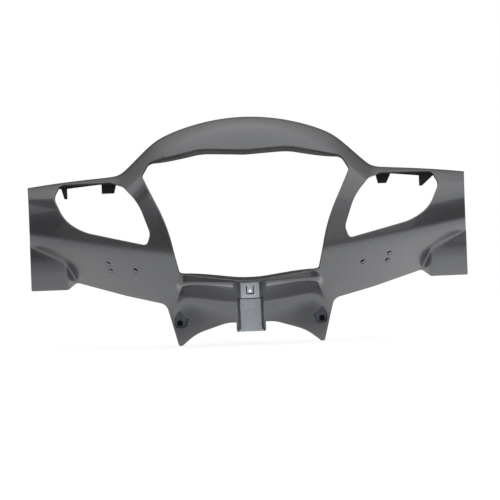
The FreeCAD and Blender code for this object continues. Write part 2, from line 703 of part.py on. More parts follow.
def bracket_prism(name, half, rear_half, rear, low, high):
    """Upright block, of one half width at the scoop's wall and another at its rear, flaring to the front."""
    front = -size.nose_reach * 2
    front_half = half + size.bracket_flare * (size.scoop_depth - front)
    right = [(rear_half, rear), (half, size.scoop_depth), (front_half, front)]
    corners = [Vector(x, y, low) for x, y in right] + [Vector(-x, y, low) for x, y in reversed(right)]
    return feature(name, Part.Face(Part.makePolygon(corners, True)).extrude(Vector(0, 0, high - low)))


bracket_half = size.bracket_width / 2
mouth_half = bracket_half - size.bracket_wall
floor_half = mouth_half - size.bracket_draft
floor_depth = size.scoop_depth + size.bracket_recess
bracket_block = bracket_prism("bracket_block", bracket_half, bracket_half, floor_depth + size.bracket_floor,
                              -size.bracket_drop, size.bracket_top + size.bracket_wall)
small_cuts += [
    bracket_prism("upper_channel", mouth_half, floor_half, floor_depth,
                  size.bracket_step_height, size.bracket_top),
    bracket_prism("lower_channel", mouth_half, floor_half, floor_depth - size.bracket_step,
                  size.bracket_wall - size.bracket_drop, size.bracket_step_height),
]
groove_depth = "Sizes.clip_groove * 2"
groove_front = "Sizes.scoop_depth + Sizes.bracket_recess - Sizes.clip_groove"
for side, x in (("left", "-Sizes.clip_width / 2"), ("right", "Sizes.clip_width / 2 - Sizes.clip_slit")):
    small_cuts.append(bound_box("clip_groove_" + side, "Sizes.clip_slit", groove_depth, "Sizes.clip_length",
                                x, groove_front, "Sizes.clip_foot_height"))
small_cuts.append(bound_box("clip_groove_foot", "Sizes.clip_width", groove_depth, "Sizes.clip_slit",
                            "-Sizes.clip_width / 2", groove_front, "Sizes.clip_foot_height"))
clip_hole_height = size.clip_foot_height + size.clip_slit + size.clip_hole
small_cuts.append(hole("clip_hole", "clip_hole",
                       Vector(0, floor_depth, clip_hole_height), Vector(0, 1, 0),
                       "Sizes.bracket_floor * 3"))


# Tabs that hang under the roofs of the arms

def tab(name, corners, depth):
    """Plate across an arm, from its lower corners up to the roof."""
    return prism(name, outline(name + "_outline", corners, depth), "0", "Sizes.tab_thickness")


tab_top = size.roof_height
inner_half = size.inner_tab_width / 2
inner_foot_half = inner_half / 2
inner_tab_right = [
    (size.inner_tab_out + inner_half, tab_top, SHARP),
    (size.inner_tab_out + inner_half, size.inner_tab_foot + inner_half, size.tab_bend),
    (size.inner_tab_out + inner_foot_half, size.inner_tab_foot, size.tab_bend),
    (size.inner_tab_out - inner_foot_half, size.inner_tab_foot, size.tab_bend),
    (size.inner_tab_out - inner_half, tab_top, SHARP),
]
inner_tab_left = [
    (-size.inner_tab_out + inner_half, tab_top, SHARP),
    (-size.inner_tab_out + inner_foot_half, size.inner_tab_foot, size.tab_bend),
    (-size.inner_tab_out - inner_half, size.inner_tab_foot, size.tab_bend),
    (-size.inner_tab_out - inner_half, tab_top, SHARP),
]
outer_half = size.outer_tab_width / 2
prong_half = outer_half / 2
rib_low = size.signal_top - size.rib_outer_drop
rib_inner_low = size.signal_top - size.rib_inner_drop
gusset_right = [
    (size.outer_tab_out + size.outer_tab_width, tab_top, SHARP),
    (size.outer_tab_out - prong_half, size.outer_tab_foot, size.tab_bend),
    (size.outer_tab_out - outer_half, size.outer_tab_foot, size.tab_bend),
    (size.outer_tab_out - outer_half, rib_low, size.tab_bend),
    (size.rib_inner_out, rib_inner_low, size.tab_bend),
    (size.rib_inner_out, tab_top, SHARP),
]
prong_left = [
    (-size.rib_inner_out, tab_top, SHARP),
    (-size.rib_inner_out, rib_inner_low, size.tab_bend),
    (-size.outer_tab_out, rib_low, size.tab_bend),
    (-size.outer_tab_out, size.outer_tab_foot, size.tab_bend),
    (-size.outer_tab_out - prong_half, size.outer_tab_foot, size.tab_bend),
    (-size.outer_tab_out - outer_half, rib_low, size.tab_bend),
    (-size.outer_tab_out - size.outer_tab_width, rib_low, size.tab_bend),
    (-size.outer_tab_out - size.outer_tab_width, tab_top, SHARP),
]
inner_tab_depth = skin_depth(size.inner_tab_out, size.signal_top) + size.inner_tab_setback
outer_tab_depth = skin_depth(size.outer_tab_out, size.signal_top) + size.outer_tab_setback
tabs = [
    tab("inner_tab_right", inner_tab_right, inner_tab_depth),
    tab("inner_tab_left", inner_tab_left, inner_tab_depth),
    tab("gusset_right", gusset_right, outer_tab_depth),
    tab("prong_left", prong_left, outer_tab_depth),
]

# One moulding: the opened skin, all that stands behind it, and the small cuts
inner_features = pocket_cups + [bracket_block, lip_flange, lamp_ledge] + tabs
kept_inside = []
for item in inner_features:
    kept_inside.append(joined("Part::MultiCommon", item.Name + "_inside", [item, behind_skin]))
moulding = joined("Part::MultiFuse", "moulding", [opened_skin] + kept_inside)
cowl = cut("headlight_cowl", moulding, joined("Part::MultiFuse", "small_cuts", small_cuts))
cowl.Label = "headlight_cowl"

doc.recompute()

failed = [item.Name for item in doc.Objects if "Invalid" in item.State or "Error" in item.State]
if failed:
    raise RuntimeError("these objects failed: " + ", ".join(failed))
shape = cowl.Shape
if shape.isNull() or not shape.isValid():
    raise RuntimeError("the cowl's shape is not valid")
if len(shape.Solids) != 1:
    raise RuntimeError("the cowl is %d solids, not one" % len(shape.Solids))
os.makedirs("parts", exist_ok=True)
shape.Solids[0].exportStep("parts/%s.step" % cowl.Label)
print("%s: %.0f mm3, %d faces" % (cowl.Label, shape.Volume, len(shape.Faces)))
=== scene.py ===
import math
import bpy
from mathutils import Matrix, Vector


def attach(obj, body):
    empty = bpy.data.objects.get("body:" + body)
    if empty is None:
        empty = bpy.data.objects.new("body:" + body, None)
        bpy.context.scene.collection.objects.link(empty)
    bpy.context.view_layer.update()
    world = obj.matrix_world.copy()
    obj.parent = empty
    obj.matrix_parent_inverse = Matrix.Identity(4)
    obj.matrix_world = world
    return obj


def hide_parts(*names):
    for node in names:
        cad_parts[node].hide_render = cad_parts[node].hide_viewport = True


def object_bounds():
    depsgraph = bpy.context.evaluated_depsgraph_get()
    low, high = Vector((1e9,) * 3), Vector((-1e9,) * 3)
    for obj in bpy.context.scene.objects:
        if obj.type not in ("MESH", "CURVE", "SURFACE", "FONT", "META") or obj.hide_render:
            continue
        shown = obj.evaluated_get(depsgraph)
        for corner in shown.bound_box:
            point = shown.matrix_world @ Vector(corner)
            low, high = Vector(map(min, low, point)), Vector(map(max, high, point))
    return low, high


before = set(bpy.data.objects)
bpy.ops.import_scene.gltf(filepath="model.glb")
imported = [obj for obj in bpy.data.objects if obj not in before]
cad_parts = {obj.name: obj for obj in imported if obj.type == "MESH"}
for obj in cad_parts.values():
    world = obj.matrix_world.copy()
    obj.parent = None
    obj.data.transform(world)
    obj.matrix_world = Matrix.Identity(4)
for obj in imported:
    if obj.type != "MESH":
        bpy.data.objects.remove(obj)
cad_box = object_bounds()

from types import SimpleNamespace

import bpy
import bmesh
import numpy as np
from mathutils import Matrix, Vector
from mathutils.geometry import delaunay_2d_cdt

# Motorcycle headlight cowl. The shell is built from the same rule as the CAD skin, in
# millimetres, and every mesh of the cowl is turned into metres when it is made.
# The camera, the lamps and the studio are in metres.
# +X is to the right seen from the front, the front faces -Y, +Z is up.

MM = 0.001

# Sizes of the skin
size = SimpleNamespace(
    wall=2.6, arm_reach=219.8, end_flare_deg=7.3, nose_reach=60.0, sweep_back=65.6,
    crease_height=63.4, crease_climb=26.5, climb_start=60.0, climb_round=40.0, crease_round=5.0,
    tuck_nose=0.3, tuck_arm=1.7, tuck_spread=95.0,
    crest_height=207.7, crest_radius=216.0, crest_depth=35.0,
    shoulder_out=108.6, shoulder_height=172.3, shoulder_fall_deg=45.0, shoulder_round=6.0,
    roof_height=151.5, roof_drop=6.5, roof_depth=59.0, roof_round=40.0,
    scoop_depth=6.0, leg_forward=13.5, leg_flank=12.5, flank_slope=3.0,
    chin_rim=5.0, chin_rise=0.06, chin_lean=0.3, chin_start=3.0, chin_round=2.0,
    chin_side_slope=3.0, chin_slope=3.6,
    scoop_side_slope=2.5, scoop_round=7.0, scoop_corner_round=34.0, cove_round=20.0,
    pad_out=186.0, pad_height=68.5, pad_depth=10.2, pad_sweep=0.14, pad_lean=0.12,
    pad_side_slope=2.2, pad_side_lean=0.04, pad_sole_height=46.0, pad_sole_slope=1.2,
    pad_sole_round=10.0, pad_round=2.2,
)
# Openings, edges and small features
cut = SimpleNamespace(
    lamp_low_height=42.0, lamp_low_flat=10.0, lamp_corner_out=69.0, lamp_corner_height=50.3,
    lamp_waist_out=78.0, lamp_waist_height=98.0, lamp_top_out=104.0, lamp_top_height=149.5,
    lamp_brow_out=97.0, lamp_brow_height=162.4, lip_peak_out=44.0, lip_peak_height=173.2,
    lip_dip_height=170.4, lip_flange_depth=30.0, lip_flange_drop=4.4, ledge_depth=24.0, ledge_rise=2.6,
    signal_top=145.2, signal_top_out=190.5, signal_outer=195.4, signal_outer_height=132.0,
    signal_heel=(183.0, 107.8), signal_sole=(164.0, 95.3), signal_toe=(99.6, 79.4),
    signal_inner=(95.6, 90.5), signal_brow=(107.0, 121.5), signal_crown=(124.0, 139.8),
    screw_out=71.5, screw_hole=5.5, seat_wall=3.0,
    pocket_crown=13.2, pocket_inner=8.8, pocket_inner_height=5.4, pocket_toe=6.2,
    pocket_outer=4.9, pocket_sole=4.4, pocket_wall=2.0,
    leg_tip_drop=22.6, leg_tip_width=3.6, leg_top_out=13.2, leg_top_height=19.2,
    arch_height=-1.6, arch_flat=24.0, arch_haunch_in=16.5, arch_haunch_height=-11.0,
    hem_mid=(125.0, 28.6), notch=(177.0, 43.7), pad_foot_in=0.7, pad_foot_height=36.8,
    edge_bend=4.0, leg_bend=9.0, leg_tip_round=1.7, lamp_bend=10.0, lamp_corner_bend=2.0,
    lamp_side_bend=180.0, signal_bend=12.0, long_bend=60.0,
    trim_hole=5.6, trim_holes=((140.4, 62.7), (138.8, 55.6), (113.2, 55.1)),
    bracket_width=29.8, bracket_wall=2.3, bracket_recess=7.0, bracket_draft=3.3,
    bracket_flare=0.06, bracket_floor=2.4, bracket_top=40.3,
    bracket_drop=11.2, bracket_step_height=22.4, bracket_step=2.0,
    clip_width=8.0, clip_length=8.5, clip_foot_height=26.2, clip_slit=1.0, clip_groove=1.5, clip_hole=2.4,
    tab_thickness=2.4, inner_tab_out=139.5, inner_tab_width=17.0, inner_tab_foot=134.3,
    inner_tab_setback=17.0, outer_tab_out=184.0, outer_tab_width=12.0, outer_tab_foot=130.4,
    outer_tab_setback=5.0, rib_inner_out=146.0, rib_inner_drop=0.8, rib_outer_drop=4.2,
)
# Rounding of the shell's edges, the row from which it lessens to the rear edge, and steps of an arc
EDGE_ROUND, POCKET_EDGE, CHANNEL_EDGE, HOLE_EDGE = 1.0, 0.6, 0.4, 0.7
REAR_EDGE, REAR_FADE = 0.5, 1.9
ARC_STEPS = 4
# Rows of the skin at the crease and the rear edge, how far below zero it starts, and steps for slopes
CREASE_ROW, REAR_ROW = 1.0, 2.0
SHEET_FOOT = 30.0
SLOPE_STEP, ROW_STEP = 0.05, 0.0005
# Spacing of mesh points, the length that a row counts for, and the share of the spacing kept clear of edges
SHELL_PITCH, EDGE_PITCH, HOLE_PITCH = 1.7, 1.2, 0.6
ROW_LENGTH = 100.0
CLEAR_SHARE = 0.75
# Kind of triangulation, and distances within which points count as one
HULL_TRIANGLES, POINT_TOLERANCE = 0, 1e-7
WELD_DISTANCE, STRIP_WELD = 1e-7, 1e-6
# Outlines: how much of a side an arc may take and its fewest steps, points along the channel, passes
# that settle a width, and how far the loop that is cut to size reaches past the arms, crest and bracket
ARC_SHARE, FEWEST_STEPS = 0.48, 2
CHANNEL_POINTS = 12
ARM_END_PASSES, CHANNEL_PASSES = 8, 3
PAST_ARM, PAST_CREST, PAST_BRACKET = 1.3, 1.5, 10.0
# Finishes of the shell and the cups: lacquer, bare plastic, and a painted glint, pale lacquer on the walls
# of the trim holes
PAINTED, BARE, PAINTED_GLINT = range(3)
# Finish of a piece in one material
ONLY_FINISH = 0

end_flare = math.tan(math.radians(size.end_flare_deg))
shoulder_fall = math.tan(math.radians(size.shoulder_fall_deg))
leg_corner_out = cut.screw_out + cut.leg_top_out


# Rule of the skin: the depth of its outer face by distance from the middle and height

def ramp(distance, softness):
    """Zero on one side and the distance on the other, with a rounded start."""
    return 0.5 * (distance + np.hypot(distance, softness))


def nearer(a, b, softness):
    """The smaller of two depths, with a rounded bend where they meet."""
    return 0.5 * (a + b - np.hypot(a - b, softness))


def farther(a, b, softness):
    """The larger of two depths, with a rounded bend where they meet."""
    return 0.5 * (a + b + np.hypot(a - b, softness))


def crease_line(out):
    """Depth and height of the long crease."""
    depth = -size.nose_reach + size.sweep_back * (out / size.arm_reach) ** 2
    full_rise = ramp(size.arm_reach - size.climb_start, size.climb_round)
    rise = ramp(out - size.climb_start, size.climb_round) / full_rise
    return depth, size.crease_height + size.crease_climb * rise


def rear_line(out):
    """Depth and height of the rear edge of the visor and the roofs."""
    full_bow = math.hypot(size.arm_reach, size.roof_round) - size.roof_round
    bow = (np.hypot(out, size.roof_round) - size.roof_round) / full_bow
    depth = size.crest_depth + (size.roof_depth - size.crest_depth) * bow
    dome = size.crest_height - out * out / (2 * size.crest_radius)
    shoulder = size.shoulder_height - (out - size.shoulder_out) * shoulder_fall
    roof_run = np.maximum(out - size.shoulder_out, 0.0) / (size.arm_reach - size.shoulder_out)
    roof = size.roof_height - size.roof_drop * roof_run ** 2
    return depth, farther(nearer(dome, shoulder, size.shoulder_round), roof, size.shoulder_round)


def lamp_low_edge(out):
    """Height of the headlight opening's lower edge."""
    slope = (cut.lamp_corner_height - cut.lamp_low_height) / (cut.lamp_corner_out - cut.lamp_low_flat)
    return cut.lamp_low_height + slope * ramp(out - cut.lamp_low_flat, size.crease_round)


def body_depth(out, height):
    """Quarter ellipses above the crease, the tucked lower panel below it."""
    crease_depth, crease_height = crease_line(out)
    rear_depth, rear_height = rear_line(out)
    sine = np.clip((height - crease_height) / (rear_height - crease_height), 0.0, 1.0)
    upper = crease_depth + (rear_depth - crease_depth) * (1 - np.sqrt(1 - sine * sine))
    tuck_share = out * out / (out * out + size.tuck_spread ** 2)
    tuck = size.tuck_nose + (size.tuck_arm - size.tuck_nose) * tuck_share
    return upper + tuck * ramp(crease_height - height, size.crease_round)


def chin_foot(out):
    """Height of the fold under the chin."""
    rise = size.chin_rise * ramp(out - cut.lamp_low_flat, size.crease_round)
    return cut.lamp_low_height - size.chin_rim + rise


def chin(out, height):
    """The narrow chin that hangs from the headlight's lower edge."""
    edge_height = lamp_low_edge(out)
    beside = ramp(out - cut.lamp_corner_out, size.crease_round)
    above = ramp(height - edge_height - size.chin_rim / 2, size.chin_round)
    below = ramp(chin_foot(out) - size.chin_rim / 2 - height, size.chin_round)
    start_height = edge_height + size.chin_start
    lean = size.chin_lean * (start_height - height)
    return body_depth(out, start_height) - lean + size.chin_side_slope * (beside + above + below)


def scoop_hollow(out, height):
    """The hollow under the chin, between the two legs."""
    rim_depth = body_depth(out, lamp_low_edge(out))
    side_run = (leg_corner_out - cut.lamp_corner_out) / (cut.lamp_corner_height - cut.leg_top_height)
    side_out = cut.lamp_corner_out + size.chin_rim / 2 + (cut.lamp_corner_height - height) * side_run
    under_rim = rim_depth + (chin_foot(out) - height) * size.chin_slope
    beside_leg = rim_depth + (side_out - out) * size.scoop_side_slope
    return nearer(under_rim, beside_leg, size.scoop_corner_round)


def leg_wall(out, height):
    """The scoop's wall, with the legs standing forward of its middle."""
    turn = np.minimum(out / (cut.screw_out + cut.pocket_outer), 1.0)
    depth = size.scoop_depth - size.leg_forward * (1 - np.cos(math.pi * turn)) / 2
    flank = size.flank_slope * ramp(out - cut.screw_out - size.leg_flank, size.crease_round)
    above = size.chin_slope * ramp(height - cut.lamp_low_height, size.crease_round)
    return depth + flank + above


def lever_pad(out, height):
    """The raised pad that clears the lever, at an arm's lower outer corner."""
    drop = size.pad_height - height
    lean = size.pad_lean * ramp(drop, size.pad_round)
    face = size.pad_depth + size.pad_sweep * (out - size.pad_out) + lean
    sole = size.pad_sole_slope * ramp(size.pad_sole_height - height, size.pad_sole_round)
    side = size.pad_side_slope * ramp(size.pad_out - size.pad_side_lean * drop - out, size.pad_round)
    above = size.flank_slope * ramp(height - crease_line(out)[1], size.crease_round)
    return face + sole + side + above


def skin_depth(x, height):
    """Depth of the outer face at a point seen from the front."""
    out = np.abs(x)
    depth = nearer(body_depth(out, height), chin(out, height), size.chin_round)
    depth = farther(depth, scoop_hollow(out, height), size.scoop_round)
    cove = size.cove_round * np.maximum(1 - (out / cut.screw_out) ** 2, 0.0)
    depth = nearer(depth, leg_wall(out, height), size.scoop_round + cove)
    return nearer(depth, lever_pad(out, height), size.pad_round)


def skin_point(x, row):
    """Points of the outer face. Rows 0 to 1 climb to the crease, rows 1 to 2 on to the rear edge."""
    out = np.abs(x)
    crease_height = crease_line(out)[1]
    rear_height = rear_line(out)[1]
    low = -SHEET_FOOT + row * (crease_height + SHEET_FOOT)
    turn = (np.clip(row, CREASE_ROW, REAR_ROW) - CREASE_ROW) * math.pi / 2
    high = crease_height + (rear_height - crease_height) * np.sin(turn)
    height = np.where(row <= CREASE_ROW, low, high)
    return np.stack([x, skin_depth(x, height), height], axis=-1)


def skin_row(x, height):
    """Row of the skin at points seen from the front."""
    out = np.abs(x)
    crease_height = crease_line(out)[1]
    rear_height = rear_line(out)[1]
    low = (height + SHEET_FOOT) / (crease_height + SHEET_FOOT)
    sine = np.clip((height - crease_height) / (rear_height - crease_height), 0.0, 1.0)
    return np.where(height <= crease_height, low, CREASE_ROW + np.arcsin(sine) * 2 / math.pi)


def unit(vectors):
    """The same directions, one long."""
    return vectors / np.linalg.norm(vectors, axis=-1, keepdims=True)


def skin_slopes(x, row):
    """How the skin's points move with x and with the row."""
    along_x = (skin_point(x + SLOPE_STEP, row) - skin_point(x - SLOPE_STEP, row)) / (2 * SLOPE_STEP)
    low_row = np.maximum(row - ROW_STEP, 0.0)
    high_row = np.minimum(row + ROW_STEP, REAR_ROW)
    along_row = (skin_point(x, high_row) - skin_point(x, low_row)) / (high_row - low_row)[..., None]
    return along_x, along_row


def skin_normal(x, row):
    """Outward direction of the skin."""
    along_x, along_row = skin_slopes(x, row)
    return unit(np.cross(along_x, along_row))


# Outlines seen from the front, as closed loops of points

def evenly(points, pitch):
    """A closed loop with points added so that none lie further apart than the pitch."""
    result = []
    for start, end in zip(points, np.roll(points, -1, axis=0)):
        steps = max(1, math.ceil(np.linalg.norm(end - start) / pitch))
        result += [start + (end - start) * step / steps for step in range(steps)]
    return np.array(result)


def rounded(corners, pitch):
    """Loop through corners given as (x, height, radius), with an arc at each."""
    points = []
    for i, (x, height, radius) in enumerate(corners):
        here = np.array([x, height])
        back = np.array(corners[i - 1][:2]) - here
        ahead = np.array(corners[(i + 1) % len(corners)][:2]) - here
        back_length, ahead_length = np.linalg.norm(back), np.linalg.norm(ahead)
        back, ahead = back / back_length, ahead / ahead_length
        half_angle = math.acos(np.clip(back @ ahead, -1, 1)) / 2
        trim = min(radius / math.tan(half_angle), ARC_SHARE * back_length, ARC_SHARE * ahead_length)
        radius = trim * math.tan(half_angle)
        centre = here + unit(back + ahead) * radius / math.sin(half_angle)
        start, end = here + back * trim - centre, here + ahead * trim - centre
        sweep = math.pi - 2 * half_angle
        steps = max(FEWEST_STEPS, math.ceil(radius * sweep / pitch))
        for step in range(steps + 1):
            share = step / steps
            start_weight, end_weight = math.sin((1 - share) * sweep), math.sin(share * sweep)
            points.append(centre + (start * start_weight + end * end_weight) / math.sin(sweep))
    return evenly(np.array(points), pitch)


def mirrored(corners):
    """The other side's corners, in the opposite order."""
    return [(-x, height, radius) for x, height, radius in reversed(corners)]


def winding(loop, left_turn):
    """The loop, turned round where it doesn't run the way asked for."""
    ahead = np.roll(loop, -1, axis=0)
    area = np.sum(loop[:, 0] * ahead[:, 1] - ahead[:, 0] * loop[:, 1])
    return loop if (area > 0) == left_turn else loop[::-1]


def on_rows(loop):
    """A loop seen from the front, as x and row."""
    return np.stack([loop[:, 0], skin_row(loop[:, 0], loop[:, 1])], axis=1)


def arm_end(rows):
    """Distance from the middle of a cut arm end, row by row."""
    out = np.full(len(rows), size.arm_reach)
    for _ in range(ARM_END_PASSES):
        out = size.arm_reach + end_flare * skin_point(out, rows)[:, 1]
    return out


def channel_half(height):
    """Half width of the bracket's channel where it meets the skin, wider towards the chin."""
    half = cut.bracket_width / 2 - cut.bracket_wall
    for _ in range(CHANNEL_PASSES):
        in_front = np.maximum(size.scoop_depth - skin_depth(half, height), 0.0)
        half = cut.bracket_width / 2 - cut.bracket_wall + cut.bracket_flare * in_front
    return half


def lower_corners():
    """Corners of the shell's lower edge on the right, from the arm's end to the bracket's channel."""
    tip_half = cut.leg_tip_width / 2
    heights = np.linspace(cut.arch_height, cut.bracket_top, CHANNEL_POINTS)
    channel = [(channel_half(height), height, cut.long_bend) for height in heights[1:-1]]
    channel.insert(0, (channel_half(heights[0]), heights[0], cut.leg_tip_round))
    channel.append((channel_half(heights[-1]), heights[-1], cut.leg_tip_round))
    return [
        (size.arm_reach * PAST_ARM, cut.pad_foot_height, EDGE_ROUND),
        (size.pad_out - cut.pad_foot_in, cut.pad_foot_height, cut.edge_bend),
        (*cut.notch, cut.edge_bend),
        (*cut.hem_mid, cut.long_bend),
        (leg_corner_out, cut.leg_top_height, cut.leg_bend),
        (cut.screw_out + tip_half, -cut.leg_tip_drop, cut.leg_tip_round),
        (cut.screw_out - tip_half, -cut.leg_tip_drop, cut.leg_tip_round),
        (cut.screw_out - cut.arch_haunch_in, cut.arch_haunch_height, cut.long_bend),
        (cut.arch_flat, cut.arch_height, cut.long_bend),
    ] + channel


def shell_border():
    """The shell's outer border as x and row: lower edge, arm ends and rear edge."""
    right = lower_corners()
    loop_corners = [(right[0][0], size.crest_height * PAST_CREST, EDGE_ROUND)] + right
    loop = winding(rounded(loop_corners + mirrored(loop_corners), EDGE_PITCH), True)
    foot_row = skin_row(np.array([size.arm_reach]), np.array([cut.pad_foot_height]))
    foot_out = arm_end(foot_row)[0]
    between_ends = np.abs(loop[:, 0]) < foot_out - EDGE_PITCH
    lower = loop[between_ends & (loop[:, 1] < cut.bracket_top + PAST_BRACKET)]
    start = int(np.argmin(lower[:, 0]))
    lower = on_rows(np.roll(lower, -start, axis=0))
    end_steps = int((REAR_ROW - foot_row[0]) * ROW_LENGTH / EDGE_PITCH)
    end_rows = np.linspace(foot_row[0], REAR_ROW, end_steps)
    end_out = arm_end(end_rows)
    right_end = np.stack([end_out, end_rows], axis=1)
    left_end = np.stack([-end_out, end_rows], axis=1)[::-1]
    rear_out = np.linspace(end_out[-1], -end_out[-1], int(2 * end_out[-1] / EDGE_PITCH))
    rear = np.stack([rear_out, np.full(len(rear_out), REAR_ROW)], axis=1)
    return np.concatenate([lower, right_end, rear[1:-1], left_end])


def lamp_loop():
    """The headlight opening."""
    right = [
        (0, cut.lip_dip_height, cut.long_bend),
        (cut.lip_peak_out, cut.lip_peak_height, cut.long_bend),
        (cut.lamp_brow_out, cut.lamp_brow_height, cut.lamp_bend),
        (cut.lamp_top_out, cut.lamp_top_height, cut.edge_bend),
        (cut.lamp_waist_out, cut.lamp_waist_height, cut.lamp_side_bend),
        (cut.lamp_corner_out, cut.lamp_corner_height, cut.lamp_corner_bend),
        (cut.lamp_low_flat, cut.lamp_low_height, cut.long_bend),
    ]
    return rounded(right + mirrored(right)[:-1], EDGE_PITCH)


def pocket_corners():
    """Mouth of the right screw pocket."""
    return [
        (cut.screw_out, cut.pocket_crown, cut.pocket_wall),
        (cut.screw_out + cut.pocket_outer, cut.pocket_inner_height, cut.pocket_sole),
        (cut.screw_out + cut.pocket_outer, -cut.pocket_sole, cut.pocket_sole),
        (cut.screw_out - cut.pocket_toe, -cut.pocket_sole, cut.pocket_sole),
        (cut.screw_out - cut.pocket_inner, cut.pocket_inner_height, cut.pocket_wall),
    ]


def trim_hole_frame(x, height):
    """A trim hole's middle on the skin, its outward direction and two directions across it."""
    place = np.array([x]), skin_row(np.array([x]), np.array([height]))
    normal, across = skin_normal(*place)[0], unit(skin_slopes(*place)[0])[0]
    return skin_point(*place)[0], normal, across, np.cross(normal, across)


def trim_hole_loop(x, height):
    """A round hole straight through the panel, seen from the front."""
    _, _, across, up = trim_hole_frame(x, height)
    turns = np.arange(0, 2 * math.pi, HOLE_PITCH / cut.trim_hole * 2)[:, None]
    ring = (np.cos(turns) * across + np.sin(turns) * up) * cut.trim_hole / 2
    return np.array([x, height]) + ring[:, [0, 2]]


def opening_loops():
    """Openings and holes as x and row, each with its edge's rounding and its wall's finish."""
    signal = [
        (cut.signal_top_out, cut.signal_top, cut.edge_bend),
        (cut.signal_outer, cut.signal_outer_height, cut.signal_bend),
        (*cut.signal_heel, cut.long_bend),
        (*cut.signal_sole, cut.long_bend),
        (*cut.signal_toe, cut.edge_bend),
        (*cut.signal_inner, cut.signal_bend),
        (*cut.signal_brow, cut.long_bend),
        (*cut.signal_crown, cut.signal_bend),
        (cut.signal_crown[0] + cut.signal_bend, cut.signal_top, cut.signal_bend),
    ]
    openings = [(lamp_loop(), EDGE_ROUND, BARE)]
    for right, pitch, edge_round in ((signal, EDGE_PITCH, EDGE_ROUND),
                                     (pocket_corners(), HOLE_PITCH, POCKET_EDGE)):
        openings += [(rounded(corners, pitch), edge_round, BARE) for corners in (right, mirrored(right))]
    for side in (1, -1):
        for out, height in cut.trim_holes:
            openings.append((trim_hole_loop(side * out, height), HOLE_EDGE, PAINTED_GLINT))
    return [(on_rows(winding(loop, False)), edge_round, wall) for loop, edge_round, wall in openings]


# Meshes, and the shell's own

def inside(points, loops):
    """Which points lie between the loops: inside the outermost and in none of the others."""
    result = np.zeros(len(points), dtype=bool)
    for loop in loops:
        ahead = np.roll(loop, -1, axis=0)
        for (x0, y0), (x1, y1) in zip(loop, ahead):
            if y0 == y1:
                continue
            crosses = (points[:, 1] < y0) != (points[:, 1] < y1)
            result ^= crosses & (points[:, 0] < x0 + (points[:, 1] - y0) * (x1 - x0) / (y1 - y0))
    return result


def filled(loops, pitch):
    """Triangles between flat loops, with points at a pitch inside them, and the points."""
    edge_points = np.concatenate(loops)
    low, high = edge_points.min(axis=0), edge_points.max(axis=0)
    xs, ys = np.arange(low[0], high[0], pitch), np.arange(low[1], high[1], pitch)
    grid = np.stack(np.meshgrid(xs, ys), axis=-1)
    grid[1::2, :, 0] += pitch / 2
    grid = grid.reshape(-1, 2)
    grid = grid[inside(grid, loops)]
    cell_size = pitch * CLEAR_SHARE
    cells = {tuple(cell) for cell in np.floor(edge_points / cell_size).astype(int)}
    clear = [tuple(cell) not in cells for cell in np.floor(grid / cell_size).astype(int)]
    points = np.concatenate([edge_points, grid[np.array(clear, dtype=bool)]])
    edges, first = [], 0
    for loop in loops:
        edges += [(first + i, first + (i + 1) % len(loop)) for i in range(len(loop))]
        first += len(loop)
    corners = [Vector(point) for point in points]
    found = delaunay_2d_cdt(corners, edges, [], HULL_TRIANGLES, POINT_TOLERANCE)
    places = np.array([tuple(place) for place in found[0]])
    triangles = np.array(found[2])
    kept = inside(places[triangles].mean(axis=1), loops)
    given = np.array([old[0] for old in found[3]])
    return points, given[triangles[kept]]


def add_object(name, data):
    """A mesh, a lamp or a camera put into the scene."""
    thing = bpy.data.objects.new(name, data)
    bpy.context.scene.collection.objects.link(thing)
    return thing


def new_mesh(name, points, faces, finishes, materials):
    """A mesh in metres, with a finish on each face."""
    mesh = bpy.data.meshes.new(name)
    mesh.from_pydata((np.array(points) * MM).tolist(), [], faces)
    for material in materials:
        mesh.materials.append(material)
    mesh.polygons.foreach_set("material_index", finishes)
    return mesh


class Surface:
    """Points, directions and faces of a mesh that is being put together."""

    def __init__(self):
        self.points, self.normals, self.faces, self.finishes = [], [], [], []

    def add_points(self, points, normals):
        """Adds points with their directions and returns their numbers."""
        first = len(self.points)
        self.points += [tuple(point) for point in points]
        self.normals += [tuple(normal) for normal in normals]
        return np.arange(first, len(self.points))

    def add_flat(self, loop, depth):
        """A flat loop's points at one depth or each at its own, with their directions left open."""
        depths = np.broadcast_to(depth, len(loop))
        points = np.stack([loop[:, 0], depths, loop[:, 1]], axis=1)
        return self.add_points(points, np.zeros_like(points))

    def add_faces(self, faces, finish):
        """Adds faces, given as numbers of points, in one finish."""
        self.faces += [tuple(int(i) for i in face) for face in faces]
        self.finishes += [finish] * len(faces)

    def add_band(self, row, next_row, finish):
        """Quads from one closed row of points to the next."""
        ahead, next_ahead = np.roll(row, -1), np.roll(next_row, -1)
        self.add_faces(list(zip(row, next_row, next_ahead, ahead)), finish)

    def make(self, name, materials):
        """The mesh as an object, shaded by the directions of its points."""
        mesh = new_mesh(name, self.points, self.faces, self.finishes, materials)
        mesh.polygons.foreach_set("use_smooth", [True] * len(self.faces))
        mesh.update()
        mesh.normals_split_custom_set_from_vertices(self.normals)
        return add_object(name, mesh)


def edge_frame(loop):
    """Points, normals and in-surface outward directions along an edge of the shell."""
    x, row = loop[:, 0], loop[:, 1]
    points, normals = skin_point(x, row), skin_normal(x, row)
    along = unit(np.roll(points, -1, axis=0) - np.roll(points, 1, axis=0))
    return points, normals, unit(np.cross(along, normals))


def set_in(loop, distance):
    """The loop moved into the shell, each point by its own distance along the surface."""
    away = edge_frame(loop)[2] * distance[:, None]
    along_x, along_row = skin_slopes(loop[:, 0], loop[:, 1])
    slopes = np.stack([along_x, along_row], axis=-1)
    moves = np.einsum("nij,nj->ni", np.linalg.pinv(slopes), away)
    result = loop - moves
    result[:, 1] = np.minimum(result[:, 1], REAR_ROW)
    return result


